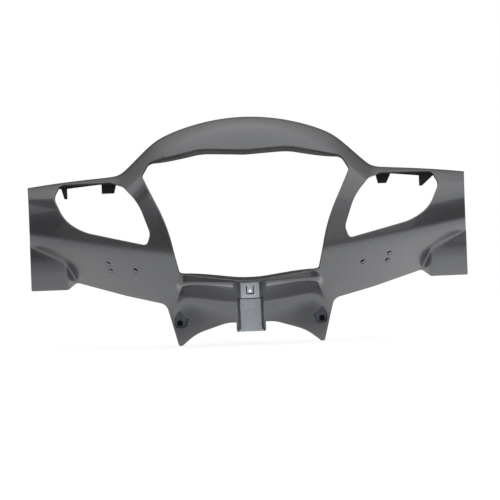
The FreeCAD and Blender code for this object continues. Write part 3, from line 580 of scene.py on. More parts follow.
def add_rounded_edge(shell, edge, edge_round, front_row, back_row, wall):
    """Bands around an edge, from the outer face's points along it to the inner face's."""
    points, up, away = edge_frame(edge)
    reach = edge_round[:, None]
    rows = [front_row]
    for side, arc in ((1, range(1, ARC_STEPS + 1)), (-1, range(ARC_STEPS, 0, -1))):
        face_point = points if side > 0 else points - up * size.wall
        face_up = up * side
        for step in arc:
            turn = step / ARC_STEPS * math.pi / 2
            direction = face_up * math.cos(turn) + away * math.sin(turn)
            ring = face_point - (face_up + away) * reach + direction * reach
            rows.append(shell.add_points(ring, direction))
    rows.append(back_row)
    for number, (row, next_row) in enumerate(zip(rows, rows[1:])):
        shell.add_band(row, next_row, PAINTED if number < ARC_STEPS else wall)


def make_shell(materials):
    """The painted shell: outer face, inner face and rounded edges around every opening."""
    border = shell_border()
    beside_bracket = np.interp(np.abs(border[:, 0]), (cut.bracket_width / 2, cut.bracket_width),
                               (CHANNEL_EDGE, EDGE_ROUND))
    near_rear = np.interp(border[:, 1], (REAR_FADE, REAR_ROW), (EDGE_ROUND, REAR_EDGE))
    edges, rounds, walls = [border], [np.minimum(beside_bracket, near_rear)], [BARE]
    for edge, edge_round, wall in opening_loops():
        edges.append(edge)
        rounds.append(np.full(len(edge), edge_round))
        walls.append(wall)
    stretch = np.array([1.0, ROW_LENGTH])
    loops = [set_in(edge, edge_round) * stretch for edge, edge_round in zip(edges, rounds)]
    places, triangles = filled(loops, SHELL_PITCH)
    x, row = places[:, 0], places[:, 1] / ROW_LENGTH
    outer, normals = skin_point(x, row), skin_normal(x, row)
    shell = Surface()
    front = shell.add_points(outer, normals)
    back = shell.add_points(outer - normals * size.wall, -normals)
    shell.add_faces(front[triangles], PAINTED)
    shell.add_faces(back[triangles[:, ::-1]], BARE)
    first = 0
    for edge, edge_round, wall in zip(edges, rounds, walls):
        last = first + len(edge)
        add_rounded_edge(shell, edge, edge_round, front[first:last], back[first:last], wall)
        first = last
    return shell.make("cowl_shell", materials)


# Finishes

def new_material(name):
    """A material, with its shader and its Object coordinates."""
    material = bpy.data.materials.new(name)
    material.use_nodes = True
    nodes = material.node_tree.nodes
    shader = nodes["Principled BSDF"]
    coordinates = nodes.new("ShaderNodeTexCoord")
    return material, shader, coordinates.outputs["Object"]


def add_node(tree, kind, links=(), **settings):
    """A node with its settings, linked or set input by input."""
    node = tree.nodes.new(kind)
    for key, value in settings.items():
        setattr(node, key, value)
    for name, value in links:
        if isinstance(value, bpy.types.NodeSocket):
            tree.links.new(value, node.inputs[name])
        else:
            node.inputs[name].default_value = value
    return node


def moulded_surface_group():
    """Slow mottle and fine grain that moulded and painted plastic both show."""
    group = bpy.data.node_groups.new("moulded_surface", "ShaderNodeTree")
    for name, kind in (("Place", "NodeSocketVector"), ("Mottle Scale", "NodeSocketFloat"),
                       ("Grain Scale", "NodeSocketFloat"), ("Least", "NodeSocketFloat"),
                       ("Most", "NodeSocketFloat")):
        group.interface.new_socket(name, in_out="INPUT", socket_type=kind)
    for name in ("Mottle", "Grain"):
        group.interface.new_socket(name, in_out="OUTPUT", socket_type="NodeSocketFloat")
    given = group.nodes.new("NodeGroupInput").outputs
    result = group.nodes.new("NodeGroupOutput").inputs
    mottle = add_node(group, "ShaderNodeTexNoise", (
        ("Vector", given["Place"]), ("Scale", given["Mottle Scale"]), ("Detail", 4.0), ("Roughness", 0.6)))
    level = add_node(group, "ShaderNodeMapRange", (
        ("Value", mottle.outputs["Fac"]), ("From Min", 0.3), ("From Max", 0.7),
        ("To Min", given["Least"]), ("To Max", given["Most"])))
    grain = add_node(group, "ShaderNodeTexNoise", (
        ("Vector", given["Place"]), ("Scale", given["Grain Scale"]), ("Detail", 2.0)))
    group.links.new(level.outputs["Result"], result["Mottle"])
    group.links.new(grain.outputs["Fac"], result["Grain"])
    return group


moulded_surface = moulded_surface_group()


def add_moulded_surface(material, shader, place, mottle_scale, grain_scale, least, most, grain_depth):
    """Roughness and bump of a moulded surface on a material's shader."""
    tree = material.node_tree
    surface = add_node(tree, "ShaderNodeGroup", node_tree=moulded_surface)
    tree.links.new(place, surface.inputs["Place"])
    for name, value in (("Mottle Scale", mottle_scale), ("Grain Scale", grain_scale),
                        ("Least", least), ("Most", most)):
        surface.inputs[name].default_value = value
    tree.links.new(surface.outputs["Mottle"], shader.inputs["Roughness"])
    bump = add_node(tree, "ShaderNodeBump", (
        ("Height", surface.outputs["Grain"]), ("Strength", 1.0), ("Distance", grain_depth)))
    tree.links.new(bump.outputs["Normal"], shader.inputs["Normal"])


FLAKE_SCALE, COAT_ROUGHNESS = 2600.0, 0.04
PLASTIC_COLOUR, PLASTIC_SPECULAR = (0.024, 0.024, 0.025, 1), 0.25


def metal_lacquer(name, dark_flake, light_flake, metal, roughness, coat):
    """Grey lacquer with metal flakes under a clear coat, with the slight ripple of sprayed paint."""
    material, shader, place = new_material(name)
    tree = material.node_tree
    flakes = add_node(tree, "ShaderNodeTexVoronoi", (("Vector", place), ("Scale", FLAKE_SCALE)))
    glint = add_node(tree, "ShaderNodeSeparateColor", (("Color", flakes.outputs["Color"]),))
    colour = add_node(tree, "ShaderNodeMix", (("Factor", glint.outputs["Red"]),), data_type="RGBA")
    colour.inputs["A"].default_value = (*dark_flake, 1)
    colour.inputs["B"].default_value = (*light_flake, 1)
    tree.links.new(colour.outputs["Result"], shader.inputs["Base Color"])
    shader.inputs["Metallic"].default_value = metal
    shader.inputs["Coat Weight"].default_value = coat
    shader.inputs["Coat Roughness"].default_value = COAT_ROUGHNESS
    add_moulded_surface(material, shader, place, mottle_scale=14.0, grain_scale=420.0,
                        least=roughness[0], most=roughness[1], grain_depth=0.000012)
    return material


def black_plastic(name):
    """Unpainted moulded plastic with a fine grain."""
    material, shader, place = new_material(name)
    shader.inputs["Base Color"].default_value = PLASTIC_COLOUR
    shader.inputs["Specular IOR Level"].default_value = PLASTIC_SPECULAR
    add_moulded_surface(material, shader, place, mottle_scale=30.0, grain_scale=1500.0,
                        least=0.62, most=0.78, grain_depth=0.00003)
    return material


grey_lacquer = metal_lacquer(
    "grey_lacquer", dark_flake=(0.102, 0.105, 0.110), light_flake=(0.155, 0.159, 0.166),
    metal=0.85, roughness=(0.27, 0.35), coat=1.0)
# A darker copy of the lacquer: painted shade on the channel's inner sides, its groove, the line between the
# floors and the bracket's back
painted_shade_lacquer = metal_lacquer(
    "painted_shade_lacquer", dark_flake=(0.030, 0.033, 0.040), light_flake=(0.050, 0.055, 0.066),
    metal=0.5, roughness=(0.40, 0.50), coat=0.4)
# A darker, bluer copy of the lacquer: painted shade inside the screw pockets
pocket_painted_shade_lacquer = metal_lacquer(
    "pocket_painted_shade_lacquer", dark_flake=(0.055, 0.062, 0.084), light_flake=(0.090, 0.100, 0.132),
    metal=0.5, roughness=(0.30, 0.40), coat=1.0)
# Paler copies of the lacquer, painted light: the first on the bracket's lower floor and round mark, the
# second, palest, on its upper floor against the chin's shadow and on the trim holes' walls
painted_light_floor_lacquer = metal_lacquer(
    "painted_light_floor_lacquer", dark_flake=(0.35, 0.375, 0.412), light_flake=(0.56, 0.597, 0.64),
    metal=0.05, roughness=(0.30, 0.44), coat=1.0)
pale_painted_light_lacquer = metal_lacquer(
    "pale_painted_light_lacquer", dark_flake=(0.62, 0.66, 0.72), light_flake=(0.86, 0.91, 0.97),
    metal=0.05, roughness=(0.36, 0.46), coat=1.0)
bare_plastic = black_plastic("bare_plastic")


# Screw pockets and trim holes: cups behind the mouths in the legs and behind the panels' holes. Closed dark
# sockets behind the screw holes and dark cups behind the trim holes are painted shade that stops the holes
# showing through

# How far a cup's wall stands back from the edge it joins, and how deep in the wall a joined piece starts
JOINT_STEP = 0.15
WALL_SHARE = 0.6
FLOOR_FILLET, HOLE_ROUND = 0.8, 0.35
# Depth and wall of the dark sockets behind the screw holes, and depth of the dark cups behind the trim
# holes, which are painted shade
SOCKET_DEPTH, SOCKET_WALL, TRIM_SHADE_DEPTH = 9.0, 1.2, 4.5
SCREW_RING, TRIM_RING = 32, 24
SMOOTH_DEG, ALL_SMOOTH_DEG = 35.0, 180.0


def moved_out(loop, distance):
    """A left-turning flat loop moved outwards."""
    along = unit(np.roll(loop, -1, axis=0) - np.roll(loop, 1, axis=0))
    return loop + np.stack([along[:, 1], -along[:, 0]], axis=1) * distance


def tidy_faces(mesh, smooth_deg=SMOOTH_DEG):
    """Points joined, faces turned outwards, and edges kept sharp past an angle."""
    shaped = bmesh.new()
    shaped.from_mesh(mesh)
    bmesh.ops.remove_doubles(shaped, verts=shaped.verts, dist=WELD_DISTANCE)
    bmesh.ops.recalc_face_normals(shaped, faces=shaped.faces)
    shaped.to_mesh(mesh)
    shaped.free()
    mesh.shade_smooth()
    mesh.set_sharp_from_angle(angle=math.radians(smooth_deg))


def sharp_piece(name, points, faces, finishes, materials, smooth_deg=SMOOTH_DEG):
    """An object whose edges stay sharp past an angle."""
    mesh = new_mesh(name, points, faces, finishes, materials)
    tidy_faces(mesh, smooth_deg)
    return add_object(name, mesh)


def round_edges(piece, width, segments, angle_deg, hardened):
    """A rounding along the edges that are sharper than an angle."""
    rounding = piece.modifiers.new("edge_round", "BEVEL")
    rounding.width = width * MM
    rounding.segments = segments
    rounding.limit_method = "ANGLE"
    rounding.angle_limit = math.radians(angle_deg)
    rounding.harden_normals = hardened


def turns_around(count):
    """Evenly spaced angles once around."""
    return np.linspace(0, 2 * math.pi, count + 1)[:-1]


def add_holed_face(surface, loop, hole, depth, finish):
    """A flat face between a loop and a hole in it. Returns the points along both."""
    places, triangles = filled([loop, hole], cut.pocket_outer)
    face = surface.add_flat(places, depth)
    surface.add_faces(face[triangles], finish)
    return face[:len(loop)], face[len(loop):len(loop) + len(hole)]


def add_shade_socket(cups, rows, finish):
    """A closed dark socket from four rings: inner mouth, inner end, outer end and outer mouth; painted
    shade behind a hole.
    """
    inner_mouth, inner_end, outer_end, outer_mouth = rows
    cups.add_band(outer_end, outer_mouth, finish)
    cups.add_band(outer_mouth, inner_mouth, finish)
    cups.add_band(inner_mouth, inner_end, finish)
    cups.add_faces([inner_end, outer_end[::-1]], finish)


def add_pocket(cups, corners, screw_x):
    """A cup with a rounded floor, a screw hole through it and a closed dark socket behind the hole, which
    puts painted shade in the hole.
    """
    mouth = winding(rounded(corners, HOLE_PITCH), True)
    inner, outer = moved_out(mouth, JOINT_STEP), moved_out(mouth, cut.pocket_wall)
    inner_top = cups.add_flat(inner, skin_depth(inner[:, 0], inner[:, 1]) + size.wall * WALL_SHARE)
    outer_top = cups.add_flat(outer, skin_depth(outer[:, 0], outer[:, 1]) + size.wall * WALL_SHARE)
    rows = [outer_top, inner_top]
    for step in range(ARC_STEPS):
        turn = step / ARC_STEPS * math.pi / 2
        inset = FLOOR_FILLET * (1 - math.cos(turn))
        rows.append(cups.add_flat(moved_out(inner, -inset), -FLOOR_FILLET * (1 - math.sin(turn))))
    for row, next_row in zip(rows, rows[1:]):
        cups.add_band(row, next_row, PAINTED)
    turns = turns_around(SCREW_RING)
    ring = np.stack([np.cos(turns), np.sin(turns)], axis=1)
    centre, radius = np.array([screw_x, 0.0]), cut.screw_hole / 2
    rim, bore, socket_wall = [centre + ring * reach
                              for reach in (radius + HOLE_ROUND, radius, radius + SOCKET_WALL)]
    floor_edge, rim_row = add_holed_face(cups, moved_out(inner, -FLOOR_FILLET), rim, 0.0, PAINTED)
    cups.add_band(rows[-1], floor_edge, PAINTED)
    back_edge, bore_end = add_holed_face(cups, outer, bore, cut.seat_wall, BARE)
    cups.add_band(back_edge, outer_top, BARE)
    bore_start = cups.add_flat(bore, HOLE_ROUND)
    cups.add_band(rim_row, bore_start, PAINTED)
    cups.add_band(bore_start, bore_end, BARE)
    add_shade_socket(cups, [cups.add_flat(bore, cut.seat_wall / 2), cups.add_flat(bore, SOCKET_DEPTH),
                      cups.add_flat(socket_wall, SOCKET_DEPTH + SOCKET_WALL),
                      cups.add_flat(socket_wall, cut.seat_wall / 2)], BARE)


def make_pockets(materials):
    """Both screw pockets."""
    cups = Surface()
    add_pocket(cups, pocket_corners(), cut.screw_out)
    add_pocket(cups, mirrored(pocket_corners()), -cut.screw_out)
    return sharp_piece("screw_pockets", cups.points, cups.faces, cups.finishes, materials)


def make_trim_shade_cups(material):
    """A dark closed cup behind each trim hole, painted shade that keeps the holes from showing through."""
    cups = Surface()
    turns = turns_around(TRIM_RING)[:, None]
    bore, reach = cut.trim_hole / 2 + JOINT_STEP, cut.trim_hole / 2 + SOCKET_WALL
    start = size.wall * WALL_SHARE
    for side in (1, -1):
        for out, height in cut.trim_holes:
            middle, normal, across, up = trim_hole_frame(side * out, height)
            ring = np.cos(turns) * across + np.sin(turns) * up
            rows = [cups.add_points(middle + ring * radius - normal * depth, ring)
                    for radius, depth in ((bore, start), (bore, TRIM_SHADE_DEPTH),
                                          (reach, TRIM_SHADE_DEPTH + SOCKET_WALL), (reach, start))]
            add_shade_socket(cups, rows, ONLY_FINISH)
    return sharp_piece("trim_hole_shade_cups", cups.points, cups.faces, cups.finishes, [material])


# Centre bracket: a tray whose cells each have a depth, or go right through

BRACKET_ROUND, BRACKET_SEGMENTS, BRACKET_ANGLE_DEG = 0.55, 3, 40.0
SIDE_LEVELS = 14
# Finishes of the bracket: painted light on the upper and the lower floor, the grey lacquer and painted
# shade; and which faces of a side look into the channel
UPPER_PAINTED_LIGHT, LOWER_PAINTED_LIGHT, GREY, PAINTED_SHADE = range(4)
INNER_SIDES = (2, 3)
# The line between the two floors, a shallow groove darkened by painted shade, and the rounding of the lower
# outer corners with its levels
STEP_LINE = 0.8
CORNER_ROUND, CORNER_SHARES = 2.0, (0.0, 0.15, 0.4, 1.0)
MARK_HEIGHT, MARK_RADIUS, MARK_THICK = 6.8, 5.0, 0.35
MARK_STEPS, MARK_SIDES = 48, 8


def stepped_tray(x_lines, z_lines, front_of, back):
    """Points and faces of a block whose front stands at its own depth in each cell, None for no block."""
    points, faces = [], []

    def quad(*corners):
        """Adds a face with points of its own."""
        faces.append(tuple(range(len(points), len(points) + 4)))
        points.extend(corners)

    columns, levels = len(x_lines) - 1, len(z_lines) - 1
    depth = {(i, j): front_of((x_lines[i] + x_lines[i + 1]) / 2, (z_lines[j] + z_lines[j + 1]) / 2)
             for i in range(columns) for j in range(levels)}
    depth = {cell: front for cell, front in depth.items() if front is not None}
    depths = sorted(set(depth.values())) + [back]
    for (i, j), front in depth.items():
        x0, x1, z0, z1 = x_lines[i], x_lines[i + 1], z_lines[j], z_lines[j + 1]
        for y in (front, back):
            quad((x0, y, z0), (x1, y, z0), (x1, y, z1), (x0, y, z1))
        sides = (((i - 1, j), (x0, z0), (x0, z1)), ((i + 1, j), (x1, z0), (x1, z1)),
                 ((i, j - 1), (x0, z0), (x1, z0)), ((i, j + 1), (x0, z1), (x1, z1)))
        for neighbour, (xa, za), (xb, zb) in sides:
            end = depth.get(neighbour, back)
            steps = [y for y in depths if front <= y <= end]
            for y0, y1 in zip(steps, steps[1:]):
                quad((xa, y0, za), (xb, y0, zb), (xb, y1, zb), (xa, y1, za))
    return points, faces


def channel_sides():
    """Sections of the channel's two leaning sides, from the bracket's foot up to the chin."""
    half, mouth = cut.bracket_width / 2, cut.bracket_width / 2 - cut.bracket_wall + JOINT_STEP
    floor_depth = size.scoop_depth + cut.bracket_recess
    back = floor_depth + cut.bracket_floor
    foot = cut.bracket_wall - cut.bracket_drop
    corner_levels = [CORNER_ROUND * share - cut.bracket_drop for share in CORNER_SHARES]
    channel_levels = np.linspace(cut.arch_height, cut.bracket_top, SIDE_LEVELS)
    levels = [*corner_levels, foot, *channel_levels, cut.bracket_top + cut.bracket_wall]
    points, faces, finishes = [], [], []
    for side in (1, -1):
        first = len(points)
        for level in levels:
            height = min(max(level, cut.arch_height), cut.bracket_top)
            front = skin_depth(channel_half(height), height) + size.wall * WALL_SHARE
            widen = channel_half(height) - channel_half(cut.arch_height)
            above_arc = max(CORNER_ROUND - cut.bracket_drop - level, 0.0)
            outer = half - CORNER_ROUND + math.sqrt(CORNER_ROUND ** 2 - above_arc ** 2)
            floor_edge = mouth - cut.bracket_draft
            section = [(outer, back), (outer + widen, front), (mouth + widen, front),
                       (mouth, size.scoop_depth), (floor_edge, floor_depth), (floor_edge, back)]
            points += [(side * x, y, level) for x, y in section]
        count = len(section)
        for level in range(len(levels) - 1):
            low, high = first + level * count, first + (level + 1) * count
            for i in range(count):
                ahead = (i + 1) % count
                faces.append((low + i, low + ahead, high + ahead, high + i))
                # The faces that look into the channel get painted shade
                finishes.append(PAINTED_SHADE if i in INNER_SIDES else GREY)
        faces.append(tuple(range(first, first + count)))
        faces.append(tuple(range(first + (len(levels) - 1) * count, first + len(levels) * count)))
        finishes += [GREY, GREY]
    return points, faces, finishes


def make_bracket(materials):
    """The channel between the legs, with leaning sides, a stepped floor and a tongue in a groove."""
    floor_half = cut.bracket_width / 2 - cut.bracket_wall
    floor_depth = size.scoop_depth + cut.bracket_recess
    tongue, slit = cut.clip_width / 2, cut.clip_slit
    foot, head = cut.clip_foot_height, cut.clip_foot_height + cut.clip_length
    hole_middle = foot + slit + cut.clip_hole
    hole_half = cut.clip_hole / 2
    bottom = cut.bracket_wall - cut.bracket_drop
    line_foot = cut.bracket_step_height - STEP_LINE

    def front_of(x, z):
        """Depth of the tray's front at a place, or None in the small hole."""
        if z < bottom or z > cut.bracket_top:
            return size.scoop_depth + size.wall / 2
        if z < line_foot:
            return floor_depth - cut.bracket_step
        if z < cut.bracket_step_height:
            return floor_depth + STEP_LINE
        beside = tongue - slit < abs(x) < tongue and foot < z < head
        below = abs(x) < tongue and foot < z < foot + slit
        if abs(x) < hole_half and abs(z - hole_middle) < hole_half:
            return None
        return floor_depth + cut.clip_groove if beside or below else floor_depth

    x_half = [hole_half, tongue - slit, tongue, floor_half]
    x_lines = [-x for x in reversed(x_half)] + x_half
    z_lines = [-cut.bracket_drop, bottom, line_foot, cut.bracket_step_height,
               foot, foot + slit, hole_middle - hole_half, hole_middle + hole_half, head,
               cut.bracket_top, cut.bracket_top + cut.bracket_wall]
    points, faces = stepped_tray(x_lines, z_lines, front_of, floor_depth + cut.bracket_floor)
    side_points, side_faces, side_finishes = channel_sides()
    finishes = []
    for face in faces:
        depth, height = np.mean([points[i][1:] for i in face], axis=0)
        # Painted light on the floors, paler on the upper one, which the chin shades
        floor_finish = LOWER_PAINTED_LIGHT if height < line_foot else UPPER_PAINTED_LIGHT
        # Faces behind the floor, that is the groove, the line between the floors and the back, get painted
        # shade
        finishes.append(PAINTED_SHADE if depth > floor_depth + JOINT_STEP else floor_finish)
    finishes += side_finishes
    faces += [tuple(len(points) + i for i in face) for face in side_faces]
    points += side_points
    bracket = sharp_piece("centre_bracket", points, faces, finishes, materials)
    round_edges(bracket, BRACKET_ROUND, BRACKET_SEGMENTS, BRACKET_ANGLE_DEG, True)
    return bracket


def make_round_mark(material):
    """The faint round mark on the bracket's lower floor."""
    depth = size.scoop_depth + cut.bracket_recess - cut.bracket_step
    points, faces = [], []
    for i in range(MARK_STEPS):
        turn = 2 * math.pi * i / MARK_STEPS
        here, ahead = i * MARK_SIDES, (i + 1) % MARK_STEPS * MARK_SIDES
        for j in range(MARK_SIDES):
            bend = 2 * math.pi * j / MARK_SIDES
            radius = MARK_RADIUS + MARK_THICK * math.cos(bend)
            points.append((radius * math.cos(turn), depth + MARK_THICK * math.sin(bend),
                           MARK_HEIGHT + radius * math.sin(turn)))
            beside = (j + 1) % MARK_SIDES
            faces.append((here + j, here + beside, ahead + beside, ahead + j))
    finishes = [ONLY_FINISH] * len(faces)
    return sharp_piece("round_mark", points, faces, finishes, [material], ALL_SMOOTH_DEG)


# Strips that run back from an edge: the visor's return flange and the headlight's ledge

EDGE_POINTS = 96
# Share of a strip's run that is lost at its ends, and how late the loss sets in
END_FADE, FADE_POWER = 0.96, 6
# Shares of the wall: what covers the flange's top, and what its fall is lessened by
FLANGE_COVER, FLANGE_LIFT = 0.1, 0.4


def strip_tree():
    """Geometry Nodes: a line of points drawn back along a run, then given its thickness."""
    tree = bpy.data.node_groups.new("strip_behind_edge", "GeometryNodeTree")
    sockets = {}
    for name, kind in (("Edge", "NodeSocketGeometry"), ("Run", "NodeSocketVector"),
                       ("Thickness", "NodeSocketFloat"), ("Finish", "NodeSocketMaterial")):
        sockets[name] = tree.interface.new_socket(name, in_out="INPUT", socket_type=kind).identifier
    tree.interface.new_socket("Strip", in_out="OUTPUT", socket_type="NodeSocketGeometry")
    given = tree.nodes.new("NodeGroupInput").outputs
    result = tree.nodes.new("NodeGroupOutput").inputs
    share = add_node(tree, "GeometryNodeInputNamedAttribute", (("Name", "share"),), data_type="FLOAT")
    run = add_node(tree, "ShaderNodeVectorMath", (
        ("Vector", given["Run"]), ("Scale", share.outputs["Attribute"])), operation="SCALE")
    drawn = add_node(tree, "GeometryNodeExtrudeMesh", (
        ("Mesh", given["Edge"]), ("Offset", run.outputs["Vector"]), ("Offset Scale", 1.0)), mode="EDGES")
    rise = add_node(tree, "ShaderNodeCombineXYZ", (("Z", given["Thickness"]),))
    thick = add_node(tree, "GeometryNodeExtrudeMesh", (
        ("Mesh", drawn.outputs["Mesh"]), ("Offset", rise.outputs["Vector"]), ("Offset Scale", 1.0),
        ("Individual", False)), mode="FACES")
    underside = add_node(tree, "GeometryNodeFlipFaces", (("Mesh", drawn.outputs["Mesh"]),))
    both = add_node(tree, "GeometryNodeJoinGeometry")
    tree.links.new(thick.outputs["Mesh"], both.inputs["Geometry"])
    tree.links.new(underside.outputs["Mesh"], both.inputs["Geometry"])
    welded = add_node(tree, "GeometryNodeMergeByDistance", (
        ("Geometry", both.outputs["Geometry"]), ("Distance", STRIP_WELD)))
    real = add_node(tree, "GeometryNodeRealizeInstances", (("Geometry", welded.outputs["Geometry"]),))
    finished = add_node(tree, "GeometryNodeSetMaterial", (
        ("Geometry", real.outputs["Geometry"]), ("Material", given["Finish"])))
    tree.links.new(finished.outputs["Geometry"], result["Strip"])
    return tree, sockets


strip_behind_edge, strip_sockets = strip_tree()


def make_strip(name, edge_points, run, thickness, material):
    """One strip behind an edge, shorter at its ends."""
    last = len(edge_points) - 1
    mesh = bpy.data.meshes.new(name + "_edge")
    mesh.from_pydata((edge_points * MM).tolist(), [(i, i + 1) for i in range(last)], [])
    shares = 1 - END_FADE * np.abs(2 * np.arange(last + 1) / last - 1) ** FADE_POWER
    mesh.attributes.new("share", "FLOAT", "POINT").data.foreach_set("value", shares)
    line = add_object(name, mesh)
    drawing = line.modifiers.new("strip", "NODES")
    drawing.node_group = strip_behind_edge
    drawing[strip_sockets["Run"]] = [value * MM for value in run]
    drawing[strip_sockets["Thickness"]] = thickness * MM
    drawing[strip_sockets["Finish"]] = material
    graph = bpy.context.evaluated_depsgraph_get()
    strip = bpy.data.meshes.new_from_object(line.evaluated_get(graph))
    line.modifiers.clear()
    line.data = strip
    strip.name = name
    tidy_faces(strip)
    return line


def lip_height(x):
    """Height of the visor lip, the headlight opening's upper edge."""
    loop = lamp_loop()
    upper = loop[loop[:, 1] > cut.lamp_top_height]
    upper = upper[np.argsort(upper[:, 0])]
    return np.interp(x, upper[:, 0], upper[:, 1])


def inside_edge(x, height, share):
    """Points inside the wall at a share of its thickness, along an edge seen from the front."""
    row = skin_row(x, height)
    return skin_point(x, row) - skin_normal(x, row) * size.wall * share


def flange_shares(x):
    """Shares of the wall at which the flange starts, so that its top stays under the outer face."""
    return skin_normal(x, skin_row(x, lip_height(x)))[:, 2:] + FLANGE_COVER


# Tabs under the roofs of the arms

TAB_ROUND, TAB_SEGMENTS, TAB_ANGLE_DEG = 0.35, 2, 30.0
ROOF_ROWS = 400


def roof_inside(x, depth):
    """Height in the middle of the roof's wall at a depth."""
    rows = np.linspace(CREASE_ROW, REAR_ROW, ROOF_ROWS)
    columns = np.full(len(rows), float(x))
    points = skin_point(columns, rows) - skin_normal(columns, rows) * size.wall / 2
    return float(np.interp(depth, points[:, 1], points[:, 2]))


def make_tabs(material):
    """The plates that hang under the roofs, different left and right. A None height is the roof's."""
    inner_depth = skin_depth(cut.inner_tab_out, cut.signal_top) + cut.inner_tab_setback
    outer_depth = skin_depth(cut.outer_tab_out, cut.signal_top) + cut.outer_tab_setback
    inner_half, outer_half = cut.inner_tab_width / 2, cut.outer_tab_width / 2
    inner, outer, foot = cut.inner_tab_out, cut.outer_tab_out, cut.inner_tab_foot
    rib, rib_low = cut.rib_inner_out, cut.signal_top - cut.rib_outer_drop
    rib_start = cut.signal_top - cut.rib_inner_drop
    plates = (
        (inner_depth, [(inner + inner_half, None), (inner + inner_half, foot + inner_half),
                       (inner + inner_half / 2, foot), (inner - inner_half / 2, foot),
                       (inner - inner_half, None)]),
        (inner_depth, [(-inner + inner_half, None), (-inner + inner_half / 2, foot),
                       (-inner - inner_half, foot), (-inner - inner_half, None)]),
        (outer_depth, [(outer + 2 * outer_half, None), (outer - outer_half / 2, cut.outer_tab_foot),
                       (outer - outer_half, cut.outer_tab_foot), (outer - outer_half, rib_low),
                       (rib, rib_start), (rib, None)]),
        (outer_depth, [(-rib, None), (-rib, rib_start), (-outer, rib_low), (-outer, cut.outer_tab_foot),
                       (-outer - outer_half / 2, cut.outer_tab_foot), (-outer - outer_half, rib_low),
                       (-outer - 2 * outer_half, rib_low), (-outer - 2 * outer_half, None)]),
    )
    points, faces = [], []
    for depth, corners in plates:
        first, count = len(points), len(corners)
        for y in (depth, depth + cut.tab_thickness):
            points += [(x, y, roof_inside(x, y) if z is None else z) for x, z in corners]
        faces.append(tuple(range(first, first + count)))
        faces.append(tuple(range(first + 2 * count - 1, first + count - 1, -1)))
        for i in range(count):
            ahead = (i + 1) % count
            faces.append((first + i, first + ahead, first + count + ahead, first + count + i))
    tabs = sharp_piece("arm_tabs", points, faces, [ONLY_FINISH] * len(faces), [material])
    round_edges(tabs, TAB_ROUND, TAB_SEGMENTS, TAB_ANGLE_DEG, False)
    return tabs


# The pieces

# The shell's third lacquer is the painted glint on the trim holes' walls
shell = make_shell([grey_lacquer, bare_plastic, pale_painted_light_lacquer])
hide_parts("headlight_cowl")
pockets = make_pockets([pocket_painted_shade_lacquer, bare_plastic])
bracket = make_bracket([pale_painted_light_lacquer, painted_light_floor_lacquer, grey_lacquer, painted_shade_lacquer])
round_mark = make_round_mark(painted_light_floor_lacquer)
lip_x = np.linspace(-cut.lamp_brow_out, cut.lamp_brow_out, EDGE_POINTS + 1)
flange_run = (0, cut.lip_flange_depth, EDGE_ROUND + size.wall * FLANGE_LIFT - cut.lip_flange_drop)
flange = make_strip("visor_flange", inside_edge(lip_x, lip_height(lip_x), flange_shares(lip_x)),
                    flange_run, size.wall, bare_plastic)
ledge_half = cut.lamp_corner_out - cut.edge_bend
ledge_x = np.linspace(-ledge_half, ledge_half, EDGE_POINTS + 1)
ledge = make_strip("headlight_ledge", inside_edge(ledge_x, lamp_low_edge(np.abs(ledge_x)), WALL_SHARE),
                   (0, cut.ledge_depth, cut.ledge_rise), -size.wall, grey_lacquer)
tabs = make_tabs(bare_plastic)
trim_shade_cups = make_trim_shade_cups(bare_plastic)
for piece in (shell, pockets, bracket, round_mark, flange, ledge, tabs, trim_shade_cups):
    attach(piece, "root")


# Camera, in front of the cowl and level with its middle

CAMERA_PLACE, CAMERA_ROLL_DEG = (0.0016, -1.710, 0.071), -2.22
CAMERA_SENSOR, CAMERA_LENS = 36.0, 122.4
camera_data = bpy.data.cameras.new("front_camera")
camera_data.sensor_width = CAMERA_SENSOR
camera_data.lens = CAMERA_LENS
camera = add_object("front_camera", camera_data)
camera.matrix_world = (Matrix.Translation(CAMERA_PLACE) @ Matrix.Rotation(math.pi / 2, 4, "X")
                       @ Matrix.Rotation(math.radians(CAMERA_ROLL_DEG), 4, "Z"))
bpy.context.scene.camera = camera


# Studio: white surroundings, a pale floor under the leg tips, and screens that only reflections see

WHITE = (1, 1, 1, 1)
AMBIENT = 0.85
FLOOR_HALF, FLOOR_GREY, FLOOR_ROUGHNESS, FLOOR_GLOW = 6.0, 0.22, 0.9, 0.82
# Where the floor's glow fades in reflections, and the level that it fades to
FRONT_FAR, FRONT_NEAR, FRONT_LEVEL = -0.34, -0.07, 0.1
LEFT_FAR, LEFT_NEAR, LEFT_LEVEL = -0.3, -0.05, 0.6
SCREEN_RADIUS, SCREEN_PANELS = 3.0, 14
LEFT_TOP = 3.7
CARD_TURNS_DEG, CARD_START, CARD_TOP, CARD_GLOW = (120.0, 245.0), 0.8, 6.0, 0.05
floor_height = cad_box[0][2]


def matt_material(name, grey, roughness=1.0):
    """A plain grey without gloss, ready for a white glow, with its shader and Object coordinates."""
    material, shader, place = new_material(name)
    shader.inputs["Base Color"].default_value = (grey, grey, grey, 1)
    shader.inputs["Roughness"].default_value = roughness
    shader.inputs["Specular IOR Level"].default_value = 0.0
    shader.inputs["Emission Color"].default_value = WHITE
    return material, shader, place


def stage_sheet(name, corners, panels, material):
    """Something that stands around the object and isn't part of it."""
    mesh = bpy.data.meshes.new(name)
    mesh.from_pydata(corners, [], panels)
    mesh.materials.append(material)
    sheet = add_object(name, mesh)
    return sheet


def combined(tree, operation, first, second):
    """The result of a maths step on two values."""
    return add_node(tree, "ShaderNodeMath", ((0, first), (1, second)), operation=operation).outputs["Value"]


